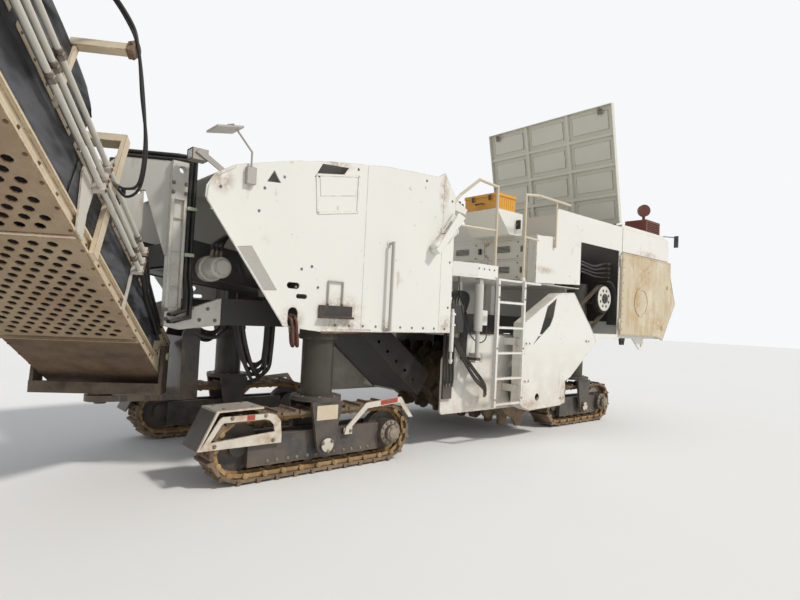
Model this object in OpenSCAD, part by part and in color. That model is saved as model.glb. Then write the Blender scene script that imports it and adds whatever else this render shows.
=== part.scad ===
/* [Body] */
// Width over the body's side plates
body_w = 2440; // [2300:10:2600]
// Thickness of the body's side plates
side_t = 12; // [8:1:20]
// Height of the body's lower edge over the ground
deck_z = 1320; // [1250:10:1450]
// Height of the front body's top at its rear end
body_top_z = 3010; // [2900:10:3100]
// Front tip of the side plates, from the machine's datum
body_front_x = 3560; // [3450:10:3650]
// Rear edge of the front body's side plates
body_rear_x = 750; // [650:10:800]
// Thickness of the sheet covers
sheet_t = 6; // [4:1:10]

/* [Frame] */
// Distance between the main beams' centre lines
beam_gap = 1180; // [1100:10:1240]
// Width of a main beam
beam_w = 120; // [80:5:140]
// Height of a main beam
beam_h = 240; // [180:10:300]

/* [Tracks] */
// Front legs' axis, from the machine's datum
front_leg_x = 2310; // [2250:10:2350]
// Distance of the front legs' axes inside the side plates
leg_inset = 220; // [200:5:240]
// Rear legs' axis, behind the machine's datum
rear_leg_x = -2430; // [-2450:10:-2420]
// Rear legs' distance from the centre line
rear_leg_y = 790; // [770:5:800]
// Length of a front track
front_track_l = 2180; // [2000:10:2200]
// Length of a rear track
rear_track_l = 1740; // [1600:10:1760]
// Height of a track over its shoes
track_h = 600; // [560:10:620]
// Width of the track shoes
shoe_w = 305; // [250:5:320]
// Thickness of a shoe's plate
shoe_t = 22; // [14:1:30]
// Height of a shoe's grouser bar
grouser_h = 26; // [15:1:35]
// Number of shoes on a front track
front_shoes = 28; // [24:1:32]
// Number of shoes on a rear track
rear_shoes = 22; // [18:1:26]
// Width of the track chain
chain_w = 96; // [80:2:120]
// Height of the track chain inside the shoes
chain_h = 52; // [40:1:60]
// Diameter of a leg's inner tube
leg_d = 300; // [260:5:310]
// Wall of a leg's outer sleeve
sleeve_wall = 34; // [20:1:40]
// Running clearance of the leg in its sleeve
leg_gap = 0.06; // [0.02:0.01:0.1]
// Height of the yoke's flange over the ground
flange_z = 700; // [690:5:720]

/* [Cutter] */
// Drum axis, behind the machine's datum
drum_x = -800; // [-820:10:-780]
// Height of the drum's axis
drum_z = 620; // [600:10:650]
// Drum diameter over the picks
drum_d = 1040; // [960:10:1060]
// Height of the picks over the drum's shell
pick_h = 130; // [90:5:150]
// Width of cut
cut_w = 2180; // [2000:10:2190]
// Number of pick rings along the drum
pick_rings = 22; // [12:1:28]
// Picks on a ring
ring_picks = 4; // [3:1:5]
// Lower edge of the cutter housing
housing_z = 380; // [350:10:420]

/* [Engine bay] */
// Front wall of the engine bay, behind the machine's datum
bay_front_x = -800; // [-820:10:-780]
// Rear end of the machine
bay_rear_x = -4900; // [-5000:10:-4850]
// Seam between engine bay and rear body
bay_seam_x = -3020; // [-3060:10:-2990]
// Height of the engine bay's top
bay_top_z = 3040; // [2980:10:3060]
// Lower edge of the band under the hood
band_z = 2660; // [2600:10:2700]
// Length of the hood
hood_l = 1850; // [1750:10:1900]
// Angle at which the hood stands open
hood_open = 78; // [70:1:85]
// Depth of the hood's rim
hood_rim = 70; // [50:5:90]

/* [Platform] */
// Height of the operator's floor
floor_z = 1985; // [1950:5:2020]
// Overhang of the floor over the side plates
floor_out = 90; // [60:5:100]
// Distance between the ladder's rungs
rung_step = 300; // [280:5:310]
// Width of the ladder
ladder_w = 500; // [400:10:520]
// Diameter of the handrails
rail_d = 34; // [26:1:42]

/* [Discharge conveyor] */
// Swing axis, from the machine's datum
swing_x = 3930; // [3900:10:3960]
// Angle swung to the left at rest
swing_rest = 58; // [0:1:60]
// Rise of the conveyor at rest
rise_rest = 27.5; // [5:0.5:35]
// Height of the lift pins
lift_z = 1010; // [980:10:1040]
// Length of the conveyor from tail to head
conv_l = 7700; // [6500:50:8000]
// Conveyor behind its lift pins
tail_back = 280; // [240:10:300]
// Width over the conveyor's side rails
conv_w = 1000; // [900:10:1040]
// Height of the conveyor's side frame
conv_h = 420; // [360:10:460]
// Width of the conveyor belt
belt_w = 810; // [700:10:820]
// Thickness of the conveyor belt
belt_t = 14; // [8:1:20]
// Diameter of the conveyor's end rollers
roller_d = 260; // [220:10:280]

/* [Hidden] */
$fn = 36;

half_w = body_w / 2;
front_leg_y = half_w - leg_inset;
// Inner faces of the cutter housing's side walls, with the drum set off to the right
drum_y = -100;
wall_t = 20;
hous_yl = drum_y + cut_w / 2 + 10;
hous_yr = drum_y - cut_w / 2 - 10;
// Outer edge of the platform, past the side plates and the cutter housing
side_out = max(half_w + floor_out, wall_t + 40 - hous_yr);
// Extents of the machine, for the origin under the middle of its box
conv_reach = (conv_l - tail_back) * cos(rise_rest);
tip_x = swing_x + conv_reach * cos(swing_rest) + conv_w / 2 * sin(swing_rest);
tip_y = conv_reach * sin(swing_rest) + conv_w / 2 * cos(swing_rest);
mid_x = (tip_x + bay_rear_x) / 2;
ladder_y = side_out + 20;
mid_y = (tip_y - ladder_y - 20) / 2;

module placed() translate([-mid_x, -mid_y, 0]) children();
module both() { children(); mirror([0, 1, 0]) children(); }
// A box between two corners
module box(a, b) translate(a) cube(b - a);
// A plate with an outline in X and Z, between two places across the machine
module plate_xz(y0, y1, pts) translate([0, y1, 0]) rotate([90, 0, 0]) linear_extrude(y1 - y0) polygon(pts);
// A plate with an outline in X and Y, between two heights
module plate_xy(z0, z1, pts) translate([0, 0, z0]) linear_extrude(z1 - z0) polygon(pts);
module cyl_y(x, z, y0, y1, d) translate([x, y1, z]) rotate([90, 0, 0]) cylinder(h = y1 - y0, d = d);
module cyl_z(x, y, z0, z1, d) translate([x, y, z0]) cylinder(h = z1 - z0, d = d);
module cyl_x(y, z, x0, x1, d) translate([x0, y, z]) rotate([0, 90, 0]) cylinder(h = x1 - x0, d = d);
// A straight bar of round section between two points
module bar(a, b, d) {
    v = b - a;
    l = norm(v);
    translate(a) rotate([0, acos(v[2] / l), atan2(v[1], v[0])]) cylinder(h = l, d = d);
}
// A bent tube along a list of points, with a ball at each corner
module tube_run(pts, d) {
    for (i = [0 : len(pts) - 2]) bar(pts[i], pts[i + 1], d);
    for (i = [1 : len(pts) - 2]) translate(pts[i]) sphere(d = d * 1.06);
}

// Legs, yokes, bogies and tracks are drawn about the leg's axis, with +Y outboard
pitch_in = track_h / 2 - grouser_h - shoe_t;
// Place along a track's loop: t from 0 to 1, r out from the end wheels' centres
function loop_pt(t, r, l, h) =
    let (s = l - h, arc = 3.14159 * h / 2, p = 2 * s + 2 * arc, d = (t - floor(t)) * p)
    d < s ? [-s / 2 + d, -r]
    : d < s + arc ? let (a = (d - s) / arc * 180) [s / 2 + r * sin(a), -r * cos(a)]
    : d < 2 * s + arc ? [s / 2 - (d - s - arc), r]
    : let (a = (d - 2 * s - arc) / arc * 180) [-s / 2 - r * sin(a), r * cos(a)];
// Profile of one shoe: share of the pitch, and depth under the grouser's tip
shoe_profile = [[0, 1], [0.03, 0.5], [0.70, 0.5], [0.76, 0], [0.90, 0], [0.94, 1]];
module track_loop(l, n) {
    translate([0, 0, track_h / 2]) rotate([90, 0, 0]) {
        linear_extrude(shoe_w, center = true) difference() {
            polygon([for (i = [0 : n - 1]) for (p = shoe_profile)
                loop_pt((i + p[0]) / n, track_h / 2 - p[1] * (grouser_h + shoe_t * 0.8), l, track_h)]);
            polygon([for (i = [0 : n - 1]) loop_pt(i / n, pitch_in, l, track_h)]);
        }
        linear_extrude(chain_w, center = true) difference() {
            polygon([for (i = [0 : n - 1]) loop_pt(i / n, pitch_in + 1, l, track_h)]);
            polygon([for (i = [0 : n - 1]) for (p = [[0.15, 0], [0.5, 0.35], [0.85, 0]])
                loop_pt((i + p[0]) / n, pitch_in - chain_h * (1 - p[1]), l, track_h)]);
        }
    }
}
wheel_r = pitch_in - chain_h - 1.3;
roller_rd = 130;
frame_side_y = 75;
frame_side_t = 60;
pin_d = 96;
pin_z = 270;
pin_gap = 0.5;
module bogie(l, rollers, guards) {
    reach = (l - track_h) / 2;
    roller_z = track_h / 2 - pitch_in + chain_h + roller_rd / 2 + 0.5;
    difference() {
        union() {
            for (s = [-1, 1])
                box([-reach + 120, s > 0 ? frame_side_y : -frame_side_y - frame_side_t, 140],
                    [reach - 60, s > 0 ? frame_side_y + frame_side_t : -frame_side_y, 400]);
            box([-reach + wheel_r + 40, -frame_side_y, 260], [reach - wheel_r - 40, frame_side_y, 380]);
        }
        cyl_y(0, pin_z, -200, 200, pin_d + 2 * pin_gap);
    }
    // End wheels: the driven one behind, the idler in front
    for (s = [-1, 1]) {
        cyl_y(s * reach, track_h / 2, -40, 40, 2 * wheel_r);
        cyl_y(s * reach, track_h / 2, -frame_side_y, frame_side_y, 150);
    }
    // Final drive
    cyl_y(-reach, track_h / 2, 40, 190, 250);
    cyl_y(-reach, track_h / 2, 190, 230, 170);
    cyl_y(-reach, track_h / 2, -150, -40, 250);
    for (i = [0 : rollers - 1]) {
        x = -reach + wheel_r + 90 + i * (2 * reach - 2 * wheel_r - 180) / (rollers - 1);
        cyl_y(x, roller_z, -frame_side_y, frame_side_y, roller_rd);
    }
    if (guards) {
        guard_y = shoe_w / 2 + 12;
        // Open front guard with its window
        difference() {
            plate_xz(guard_y, guard_y + 12, [[1165, 330], [1010, 570], [985, 590], [560, 592],
                [500, 575], [455, 520], [440, 400], [440, 330]]);
            plate_xz(guard_y - 1, guard_y + 13, [[1075, 392], [985, 528], [965, 540], [600, 543],
                [560, 530], [520, 490], [510, 432]]);
        }
        box([460, frame_side_y + frame_side_t - 10, 340], [900, guard_y, 390]);
        // Nose plate and top plate over the shoes
        plate_xz(-shoe_w / 2, guard_y + 12, [[1165, 330], [1180, 330], [1030, 640], [1010, 632]]);
        plate_xz(-shoe_w / 2, guard_y + 12, [[1030, 626], [1030, 640], [620, 650], [620, 636]]);
        // Rear strap over the driven end
        plate_xz(guard_y, guard_y + 12, [[-230, 330], [-250, 400], [-480, 615], [-930, 650], [-1110, 420],
            [-1070, 400], [-910, 590], [-500, 560], [-320, 400], [-320, 330]]);
        box([-320, frame_side_y + frame_side_t - 10, 335], [-230, guard_y, 390]);
    }
}
yoke_in = shoe_w / 2 + 30;
yoke_t = 34;
module yoke() {
    difference() {
        cyl_z(0, 0, flange_z - 40, flange_z, 480);
        for (i = [0 : 7]) rotate([0, 0, i * 45 + 22]) translate([205, 0, flange_z - 50])
            cylinder(h = 60, d = 26);
    }
    for (s = [-1, 1]) {
        y0 = s > 0 ? yoke_in : -yoke_in - yoke_t;
        hull() {
            cyl_y(0, pin_z, y0, y0 + yoke_t, 190);
            box([-165, y0, flange_z - 60], [165, y0 + yoke_t, flange_z - 40]);
        }
        box([-60, s > 0 ? y0 - 60 : y0 + yoke_t, track_h + 12],
            [60, s > 0 ? y0 : y0 + yoke_t + 60, flange_z - 40]);
    }
    cyl_y(0, pin_z, -yoke_in - yoke_t - 20, yoke_in + yoke_t + 20, pin_d);
}
leg_top_z = 1680;
module leg() {
    difference() {
        cyl_z(0, 0, flange_z, leg_top_z, leg_d);
        cyl_z(0, 0, flange_z + 60, leg_top_z + 1, leg_d - 50);
    }
}

// Main frame: two box beams, cut back round the rear legs' sleeves
sleeve_d = leg_d + 2 * (leg_gap + sleeve_wall);
sleeve_z0 = 1240;
sleeve_z1 = 2110;
bracket_h = 200;
beam_y0 = beam_gap / 2 - beam_w / 2;
beam_y1 = beam_gap / 2 + beam_w / 2;
frame_front_x = 3150;
frame_rear_x = -4450;
module main_frame() color("lightgray") placed() both() difference() {
    box([frame_rear_x, beam_y0, deck_z], [frame_front_x, beam_y1, deck_z + beam_h]);
    cyl_z(rear_leg_x, rear_leg_y, deck_z - 10, deck_z + beam_h + 10, sleeve_d + 0.6);
}
// Cross members: place along the machine, low and high edge
cross_list = [[3050, 0, 100], [-1650, 60, 240], [-2990, 60, 240], [-4450, 4, 240]];
eye_x = -4325;
eye_drop = 95;
module cross_members() color("lightgray") placed() {
    for (c = cross_list)
        box([c[0], -beam_y0, deck_z + c[1]], [c[0] + 100, beam_y0, deck_z + c[2]]);
    // Outriggers under the front tank, out to the side plates
    both() for (x = [900, 1800]) box([x, beam_y1, deck_z], [x + 100, half_w - side_t, deck_z + 30]);
    // Lashing eyes under the beams' rear ends
    both() difference() {
        plate_xz(beam_gap / 2 - 20, beam_gap / 2 + 20, [[eye_x - 90, deck_z], [eye_x + 90, deck_z],
            [eye_x + 50, deck_z - 150], [eye_x - 50, deck_z - 150]]);
        cyl_y(eye_x, deck_z - eye_drop, 0, 900, 60);
    }
}
// Sleeves of the four legs, each on its bracket beside and over the beam
module leg_sleeves() color("lightgray") placed()
    both() for (p = [[front_leg_x, front_leg_y], [rear_leg_x, rear_leg_y]]) difference() {
        union() {
            cyl_z(p[0], p[1], sleeve_z0, sleeve_z1, sleeve_d);
            box([p[0] - 130, beam_y1, deck_z], [p[0] + 130, p[1], deck_z + beam_h + bracket_h]);
            box([p[0] - 130, beam_y0 + 10, deck_z + beam_h],
                [p[0] + 130, beam_y1 + 1, deck_z + beam_h + bracket_h]);
        }
        cyl_z(p[0], p[1], 1000, sleeve_z1 - 20, leg_d + 2 * leg_gap);
    }

// Front body: outline of the side plates, from the rear lower corner round the front
side_outline = [
    [body_rear_x, deck_z], [2430, deck_z - 20], [2820, deck_z + 20], [2850, deck_z + 70],
    [body_front_x, 2340], [body_front_x - 5, 2430], [body_front_x - 70, 2540],
    [body_front_x - 230, 2640], [2820, 2785], [2430, 2865], [1740, 2965],
    [1020, body_top_z], [930, body_top_z + 60], [body_rear_x, 2840]
];
module side_plate_left() {
    difference() {
        plate_xz(half_w - side_t, half_w, side_outline);
        // Window, corner cut, oval holes and hose hole
        plate_xz(half_w - 50, half_w + 50, [[2580, 2690], [2500, 2830], [2210, 2850], [2290, 2740]]);
        plate_xz(half_w - 50, half_w + 50, [[3040, 2560], [2980, 2665], [2910, 2570]]);
        for (p = [[2740, 1700, 55], [2650, 1610, 40]]) hull() {
            cyl_y(p[0] - 35, p[1], half_w - 50, half_w + 50, p[2]);
            cyl_y(p[0] + 35, p[1], half_w - 50, half_w + 50, p[2]);
        }
        hull() {
            cyl_y(2730, 1460, half_w - 50, half_w + 50, 100);
            cyl_y(2730, 1380, half_w - 50, half_w + 50, 100);
        }
    }
}
top_line = [for (i = [7 : 11]) side_outline[i]];
module front_body() color("white") placed() {
    side_plate_left();
    mirror([0, 1, 0]) side_plate_left();
    // Top cover between the side plates
    n = len(top_line) - 1;
    plate_xz(-half_w + side_t, half_w - side_t, concat(top_line,
        [for (i = [n : -1 : 0]) [top_line[i][0], top_line[i][1] - sheet_t]]));
}
tank_x0 = body_rear_x + 40;
tank_x1 = 2060;
tank_y0 = beam_y1 + 15;
module front_tank() color("gainsboro") placed() {
    both() box([tank_x0, tank_y0, deck_z + 30], [tank_x1, half_w - side_t, 2620]);
    box([tank_x0, -half_w + side_t, 2420], [tank_x1, half_w - side_t, 2860]);
    // Rear bulkhead towards the operator's floor
    box([tank_x0 - 20, -half_w + side_t, floor_z + 10], [tank_x0, half_w - side_t, 2820]);
}

// Primary conveyor: a steep lower run and a flatter upper run
prim_w = 900;
prim_knee = [1750, 1560];
prim_tail = [470, 520];
prim_head = [3560, 1990];
prim_h = 300;
prim_low = [prim_tail, prim_knee, prim_head];
module primary_side() {
    difference() {
        plate_xz(prim_w / 2 - 20, prim_w / 2, [
            prim_tail, prim_knee, prim_head - [0, 200], prim_head + [0, 120],
            prim_knee + [-60, prim_h], prim_tail + [-180, prim_h - 40]]);
        // Row of lightening holes along the steep run
        for (i = [0 : 7]) {
            f = 0.12 + i * 0.11;
            p = prim_tail + (prim_knee - prim_tail) * f;
            cyl_y(p[0] - 60, p[1] + 70, prim_w / 2 - 30, prim_w / 2 + 30, 45);
        }
    }
}
module primary_conveyor() color("dimgray") placed() {
    both() primary_side();
    // Closed bottom under both runs
    plate_xz(-prim_w / 2 + 20, prim_w / 2 - 20, [prim_tail + [10, 20], prim_knee + [-5, 10],
        prim_head - [10, 190], prim_head - [12, 178], prim_knee + [-10, 22], prim_tail + [0, 32]]);
    // Idlers under the belt's carrying run
    for (f = [0.12, 0.5, 0.88]) {
        idler(idler_at(prim_carry[0], prim_carry[1], f));
        idler(idler_at(prim_carry[1], prim_carry[2], f));
    }
    // Hangers up to the main frame's beams
    both() box([2500, prim_w / 2 - 5, deck_z + beam_h - 60], [2600, beam_y0, deck_z + beam_h + 160]);
    both() box([1500, prim_w / 2 - 5, deck_z + 100], [1600, beam_y0, deck_z + 200]);
}
// Underside of the belt's carrying run, from tail to head
prim_carry = [prim_tail + [-150 + belt_t, 230 - 2 * belt_t], prim_knee + [-60, 230 - belt_t],
    prim_head + [-60 - belt_t, 70 - belt_t]];
idler_d = 89;
function idler_at(a, b, f) =
    let (d = (b - a) / norm(b - a)) a + (b - a) * f + [d[1], -d[0]] * (idler_d / 2 + 0.3);
module idler(p) cyl_y(p[0], p[1], -prim_w / 2 + 19, prim_w / 2 - 19, idler_d);
module primary_belt() color("black") placed() {
    t = belt_t;
    plate_xz(-belt_w / 2, belt_w / 2, [
        prim_tail + [-40, 60], prim_knee + [-20, 60], prim_head + [-60, -150], prim_head + [-60, 70],
        prim_knee + [-60, 230], prim_tail + [-150, 230],
        prim_carry[0], prim_carry[1], prim_carry[2],
        prim_head + [-60 - t, -150 + t], prim_knee + [-20, 60 + t], prim_tail + [-40, 60 + t]]);
}

// Cutter housing round the drum
hous_front = 650;
hous_rear = -1430;
shaft_d = 200;
shaft_gap = 0.05;
hous_top = deck_z - 20;
hous_side = [[hous_front, housing_z + 30], [hous_front, 1010], [420, hous_top], [hous_rear, hous_top],
    [hous_rear, 760], [-1400, 430], [-1340, housing_z], [hous_front - 30, housing_z]];
module cutter_housing() color("white") placed() {
    difference() {
        union() {
            plate_xz(hous_yl, hous_yl + wall_t, hous_side);
            plate_xz(hous_yr - wall_t, hous_yr, hous_side);
            cyl_y(drum_x, drum_z, hous_yl + 1, hous_yl + wall_t + 12, 320);
            // Top plate and front wall, open in the middle for the primary conveyor
            difference() {
                union() {
                    box([hous_rear, hous_yr - 1, hous_top - wall_t], [420, hous_yl + 1, hous_top]);
                    box([60, hous_yr - 1, housing_z + 60], [60 + wall_t, hous_yl + 1, hous_top]);
                }
                box([-100, -prim_w / 2 - 20, 0], [700, prim_w / 2 + 20, hous_top + 50]);
            }
        }
        cyl_y(drum_x, drum_z, hous_yl - 5, hous_yl + 60, shaft_d + 2 * shaft_gap);
        cyl_y(drum_x, drum_z, hous_yr - wall_t - 1, hous_yr + 5, shaft_d + 2 * shaft_gap);
    }
    // Cover over the bearing on the right
    cyl_y(drum_x, drum_z, hous_yr - wall_t - 12, hous_yr - wall_t, 320);
    // Fixed knuckles of the belt guard's hinges
    for (z = guard_hinge_z) {
        box([guard_hinge[0] + 6, hous_yl + wall_t, z + 50 + knuckle_gap],
            [guard_hinge[0] + 18, guard_hinge[1] + 8, z + 140]);
        cyl_z(guard_hinge[0], guard_hinge[1], z + 50 + knuckle_gap, z + 140, hinge_d);
    }
    // Seats up to the main frame's beams
    both() for (x = [-1300, 250]) box([x, beam_y0, hous_top], [x + 100, beam_y1, deck_z]);
}
module moldboard() color("lightgray") placed() {
    box([hous_rear + 5, hous_yr, housing_z - 20], [hous_rear + 35, hous_yl, hous_top - wall_t]);
    for (y = [-900, -300, 300, 800])
        box([hous_rear - 20, y - 15, housing_z + 60], [hous_rear + 5, y + 15, hous_top - 140]);
}
drum_r = drum_d / 2;
shell_r = drum_r - pick_h;
ring_step = (cut_w - 100) / (pick_rings - 1);
pick_turn = 26;
// Outline of a ring of picks: holder, tip and back slope, per pick
pick_outline = [[-16, 0.86], [-7, 1], [-3, 0.96], [4, 0.2], [12, 0]];
module drum() color("dimgray") placed() {
    translate([drum_x, drum_y, drum_z]) {
        cyl_y(0, 0, -cut_w / 2, cut_w / 2, 2 * shell_r);
        for (k = [0 : pick_rings - 1])
            translate([0, -cut_w / 2 + 50 + k * ring_step, 0])
                rotate([90, abs(k - (pick_rings - 1) / 2) * pick_turn, 0])
                    linear_extrude(42, center = true)
                        polygon([for (j = [0 : ring_picks - 1]) for (p = concat([[-22, -0.1]], pick_outline))
                            let (a = j * 360 / ring_picks + p[0], r = shell_r + p[1] * pick_h)
                            [r * cos(a), r * sin(a)]]);
        // Shaft ends in the housing's walls
        cyl_y(0, 0, cut_w / 2, cut_w / 2 + 48, shaft_d);
        cyl_y(0, 0, -cut_w / 2 - 28, -cut_w / 2, shaft_d);
    }
}

// Belt drive from the engine's clutch down to the drum, and its guard
belt_y0 = hous_yl + wall_t + 25;
belt_y1 = belt_y0 + 80;
pulley_x = -2700;
pulley_z = 1905;
pulley_d = 430;
drum_pulley_d = 520;
module belt_drive() color("dimgray") placed() {
    // Clutch shaft and its pulley with grooves
    cyl_y(pulley_x, pulley_z, 600, belt_y1 + 10, 150);
    difference() {
        cyl_y(pulley_x, pulley_z, belt_y0, belt_y1, pulley_d - 2 * belt_t);
        for (i = [0 : 7]) translate([pulley_x, belt_y1 + 1, pulley_z]) rotate([90, i * 45, 0])
            translate([110, 0, 0]) cylinder(h = 30, d = 34);
    }
    cyl_y(drum_x, drum_z, belt_y0, belt_y1, drum_pulley_d - 2 * belt_t);
    // Belt band round both pulleys
    difference() {
        hull() {
            cyl_y(pulley_x, pulley_z, belt_y0 + 5, belt_y1 - 5, pulley_d);
            cyl_y(drum_x, drum_z, belt_y0 + 5, belt_y1 - 5, drum_pulley_d);
        }
        hull() {
            cyl_y(pulley_x, pulley_z, belt_y0 - 5, belt_y1 + 5, pulley_d - 2 * belt_t + 0.6);
            cyl_y(drum_x, drum_z, belt_y0 - 5, belt_y1 + 5, drum_pulley_d - 2 * belt_t + 0.6);
        }
    }
}
guard_y0 = belt_y1 + 25;
guard_y1 = guard_y0 + 160;
guard_sheet = 10;
// Hinge of the belt guard, just off its front outer edge
hinge_d = 26;
guard_hinge = [-468, guard_y1 + hinge_d / 2 + 2];
guard_hinge_z = [560, 1140];
guard_outline = [[-470, 1470], [-1215, 1890], [-1575, 1920], [-2070, 1420], [-2200, 1250],
    [-1550, 770], [-1420, 715], [-1430, 430], [-1300, 400], [-640, 380], [-470, 440]];
module belt_guard() color("white") placed() {
    difference() {
        plate_xz(guard_y0, guard_y1, guard_outline);
        plate_xz(guard_y0 - 1, guard_y1 - guard_sheet, [[-480, 1460], [-1218, 1878], [-1570, 1907],
            [-2061, 1414],
            [-2185, 1250], [-1540, 780], [-1410, 722], [-1420, 440], [-1298, 410], [-642, 390], [-480, 448]]);
        // Round hole over the drum's shaft end, and the slot up the front
        cyl_y(-800, 540, guard_y0, guard_y1 + 5, 90);
        plate_xz(guard_y1 - 30, guard_y1 + 5, [[-670, 1200], [-810, 1340], [-905, 1560], [-960, 1700],
            [-1160, 1820], [-1100, 1570], [-1030, 1450]]);
    }
    for (z = guard_hinge_z) {
        cyl_z(guard_hinge[0], guard_hinge[1], z - 50, z + 50, hinge_d);
        box([guard_hinge[0] - 62, guard_y1 - 1, z - 50], [guard_hinge[0], guard_y1 + 8, z + 50]);
    }
}

// Engine across the bay, with its block, heads, manifold, filters and radiator hoses
eng_x0 = -2990;
eng_x1 = -2360;
eng_z0 = 1600;
eng_z1 = 2500;
eng_half = beam_y0 - 10;
module engine() color("dimgray") placed() {
    box([eng_x0, -eng_half, eng_z0], [eng_x1, eng_half, eng_z1]);
    // Heads and the exhaust manifold with its stubs
    for (i = [0 : 5]) {
        y = (i - 2.5) * 170;
        box([eng_x0 + 120, y - 75, eng_z1], [eng_x1 - 120, y + 75, eng_z1 + 110]);
        cyl_x(y, 2330, eng_x1 - 10, eng_x1 + 60, 70);
    }
    cyl_y(eng_x1 + 90, 2330, -eng_half, eng_half, 130);
    cyl_y(eng_x1 + 95, 1950, -300, 200, 210);
    for (y = [-150, 50, 250]) cyl_z(eng_x1 + 50, y, 1640, 1840, 110);
    cyl_y(pulley_x, pulley_z, eng_half - 5, 600, 330);
    // Feet down to the main frame's beams
    both() for (x = [eng_x0 + 40, -2700])
        box([x, eng_half - 40, deck_z + beam_h], [x + 120, beam_y1 - 20, eng_z0 + 60]);
}

// Walls of the engine bay: front block, band under the hood, base rail and right side
bay_in = half_w - side_t;
module bay_side(open) {
    difference() {
        plate_xz(bay_in, half_w, [[bay_front_x, 2000], [bay_front_x, 2620], [-1215, 2650], [-1215, 2960],
            [-1260, bay_top_z], [bay_seam_x, bay_top_z], [bay_seam_x, deck_z - 20],
            [-2230, deck_z - 20], [-2190, deck_z + 40], [-1860, 2050]]);
        if (open) plate_xz(bay_in - 5, half_w + 5, [[-1850, 1900], [-1850, band_z], [-2940, band_z],
            [-2940, deck_z + 50], [-2000, deck_z + 50]]);
        else for (i = [0 : 9]) plate_xz(bay_in - 5, half_w + 5, [[-1900, 2120 + i * 48],
            [-1900, 2144 + i * 48],
            [-2900, 2144 + i * 48], [-2900, 2120 + i * 48]]);
    }
}
module engine_walls() color("white") placed() {
    bay_side(true);
    mirror([0, 1, 0]) bay_side(false);
    // Fixed knuckles of the rear doors
    both() for (z = door_hinge_z) {
        box([door_hinge[0] - 10, half_w - 1, z + 50 + knuckle_gap],
            [door_hinge[0] + 10, door_hinge[1], z + 120]);
        cyl_z(door_hinge[0], door_hinge[1], z + 50 + knuckle_gap, z + 120, hinge_d);
    }
}
module bay_panels() color("white") placed() {
    // Front wall towards the operator, with its upper step
    box([bay_front_x - 12, -bay_in, floor_z + 15], [bay_front_x, bay_in, 2620]);
    box([-1227, -bay_in, 2632], [-1215, bay_in, 2960]);
    box([-1227, -bay_in, 2620], [bay_front_x, bay_in, 2632]);
    // Floor plates over the beams
    box([-1850, -bay_in, 1990], [bay_front_x, bay_in, 2002]);
    box([-1862, -bay_in, deck_z + beam_h], [-1850, hous_yl, 2002]);
    // Cabinet doors on the front wall, two rows of three
    for (y = [-1100, -360, 380]) for (z = [2050, 2330])
        box([bay_front_x - 1, y, z], [bay_front_x + 10, y + 700, z + 250]);
}
module hydraulic_tank() color("white") placed() box([-1700, -900, 2002], [-1250, 900, 2560]);
// Rear bulkhead round the fan's opening
module bulkhead() color("white") placed() difference() {
    box([bay_seam_x + 2, -bay_in, deck_z + beam_h], [bay_seam_x + 14, bay_in, bay_top_z]);
    cyl_x(0, 2280, bay_seam_x - 5, bay_seam_x + 30, 1100);
}

// Rear body with the cooler's grille at its end
rear_in = half_w - 20;
// End play between a hinge's knuckles
knuckle_gap = 0.3;
hinge_x = -2995;
hinge_z = 3085;
rear_outline = [[-3035, 3090], [-4480, 3090], [-4660, 3000], [-4700, 2900], [-4700, 2400],
    [-4900, 1930], [-4520, deck_z - 10], [-3035, deck_z - 10]];
rear_inner = [[-3047, 3078], [-4475, 3078], [-4650, 2992], [-4688, 2895], [-4688, 2402],
    [-4886, 1932], [-4512, deck_z + 2], [-3047, deck_z + 2]];
module rear_body() color("white") placed() {
    difference() {
        plate_xz(-rear_in, rear_in, rear_outline);
        plate_xz(-rear_in + 12, rear_in - 12, rear_inner);
        // Side openings behind the doors
        plate_xz(-rear_in - 5, rear_in + 5, [[-3120, 2580], [-4600, 2580], [-4600, 2410],
            [-4780, 1940], [-4470, 1420], [-3120, 1420]]);
        // Fan opening through the front wall
        cyl_x(0, 2280, -3060, -3030, 1100);
        // Way for the frame beams, and the grille's opening in the rear wall
        both() box([-4600, beam_y0, deck_z - 40], [-3000, beam_y1, deck_z + beam_h]);
        box([-4720, -800, 2460], [-4650, 800, 2880]);
    }
    // Bars of the grille
    for (i = [0 : 8]) box([-4697, -800, 2480 + i * 44], [-4691, 800, 2500 + i * 44]);
    for (y = [-400, 0, 400]) box([-4691, y - 8, 2460], [-4688, y + 8, 2880]);
    // Fixed knuckles of the hood
    for (y = [-900, 0, 900]) for (s = [-1, 1]) {
        yk = y + (s > 0 ? 60 + knuckle_gap : -104);
        cyl_y(hinge_x, hinge_z, yk, yk + 44 - knuckle_gap, 24);
        box([-3040, yk, hinge_z - 10], [hinge_x, yk + 44 - knuckle_gap, hinge_z + 4]);
    }
    // Side band over the doors
    both() box([-4640, rear_in, band_z], [-3035, half_w, 3030]);
    // Hanging bracket under the left side
    difference() {
        plate_xz(1120, 1140, [[-3600, deck_z - 10], [-3980, deck_z - 10], [-3980, 1130], [-3850, 1130]]);
        cyl_y(-3900, 1200, 1100, 1160, 50);
    }
}
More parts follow.
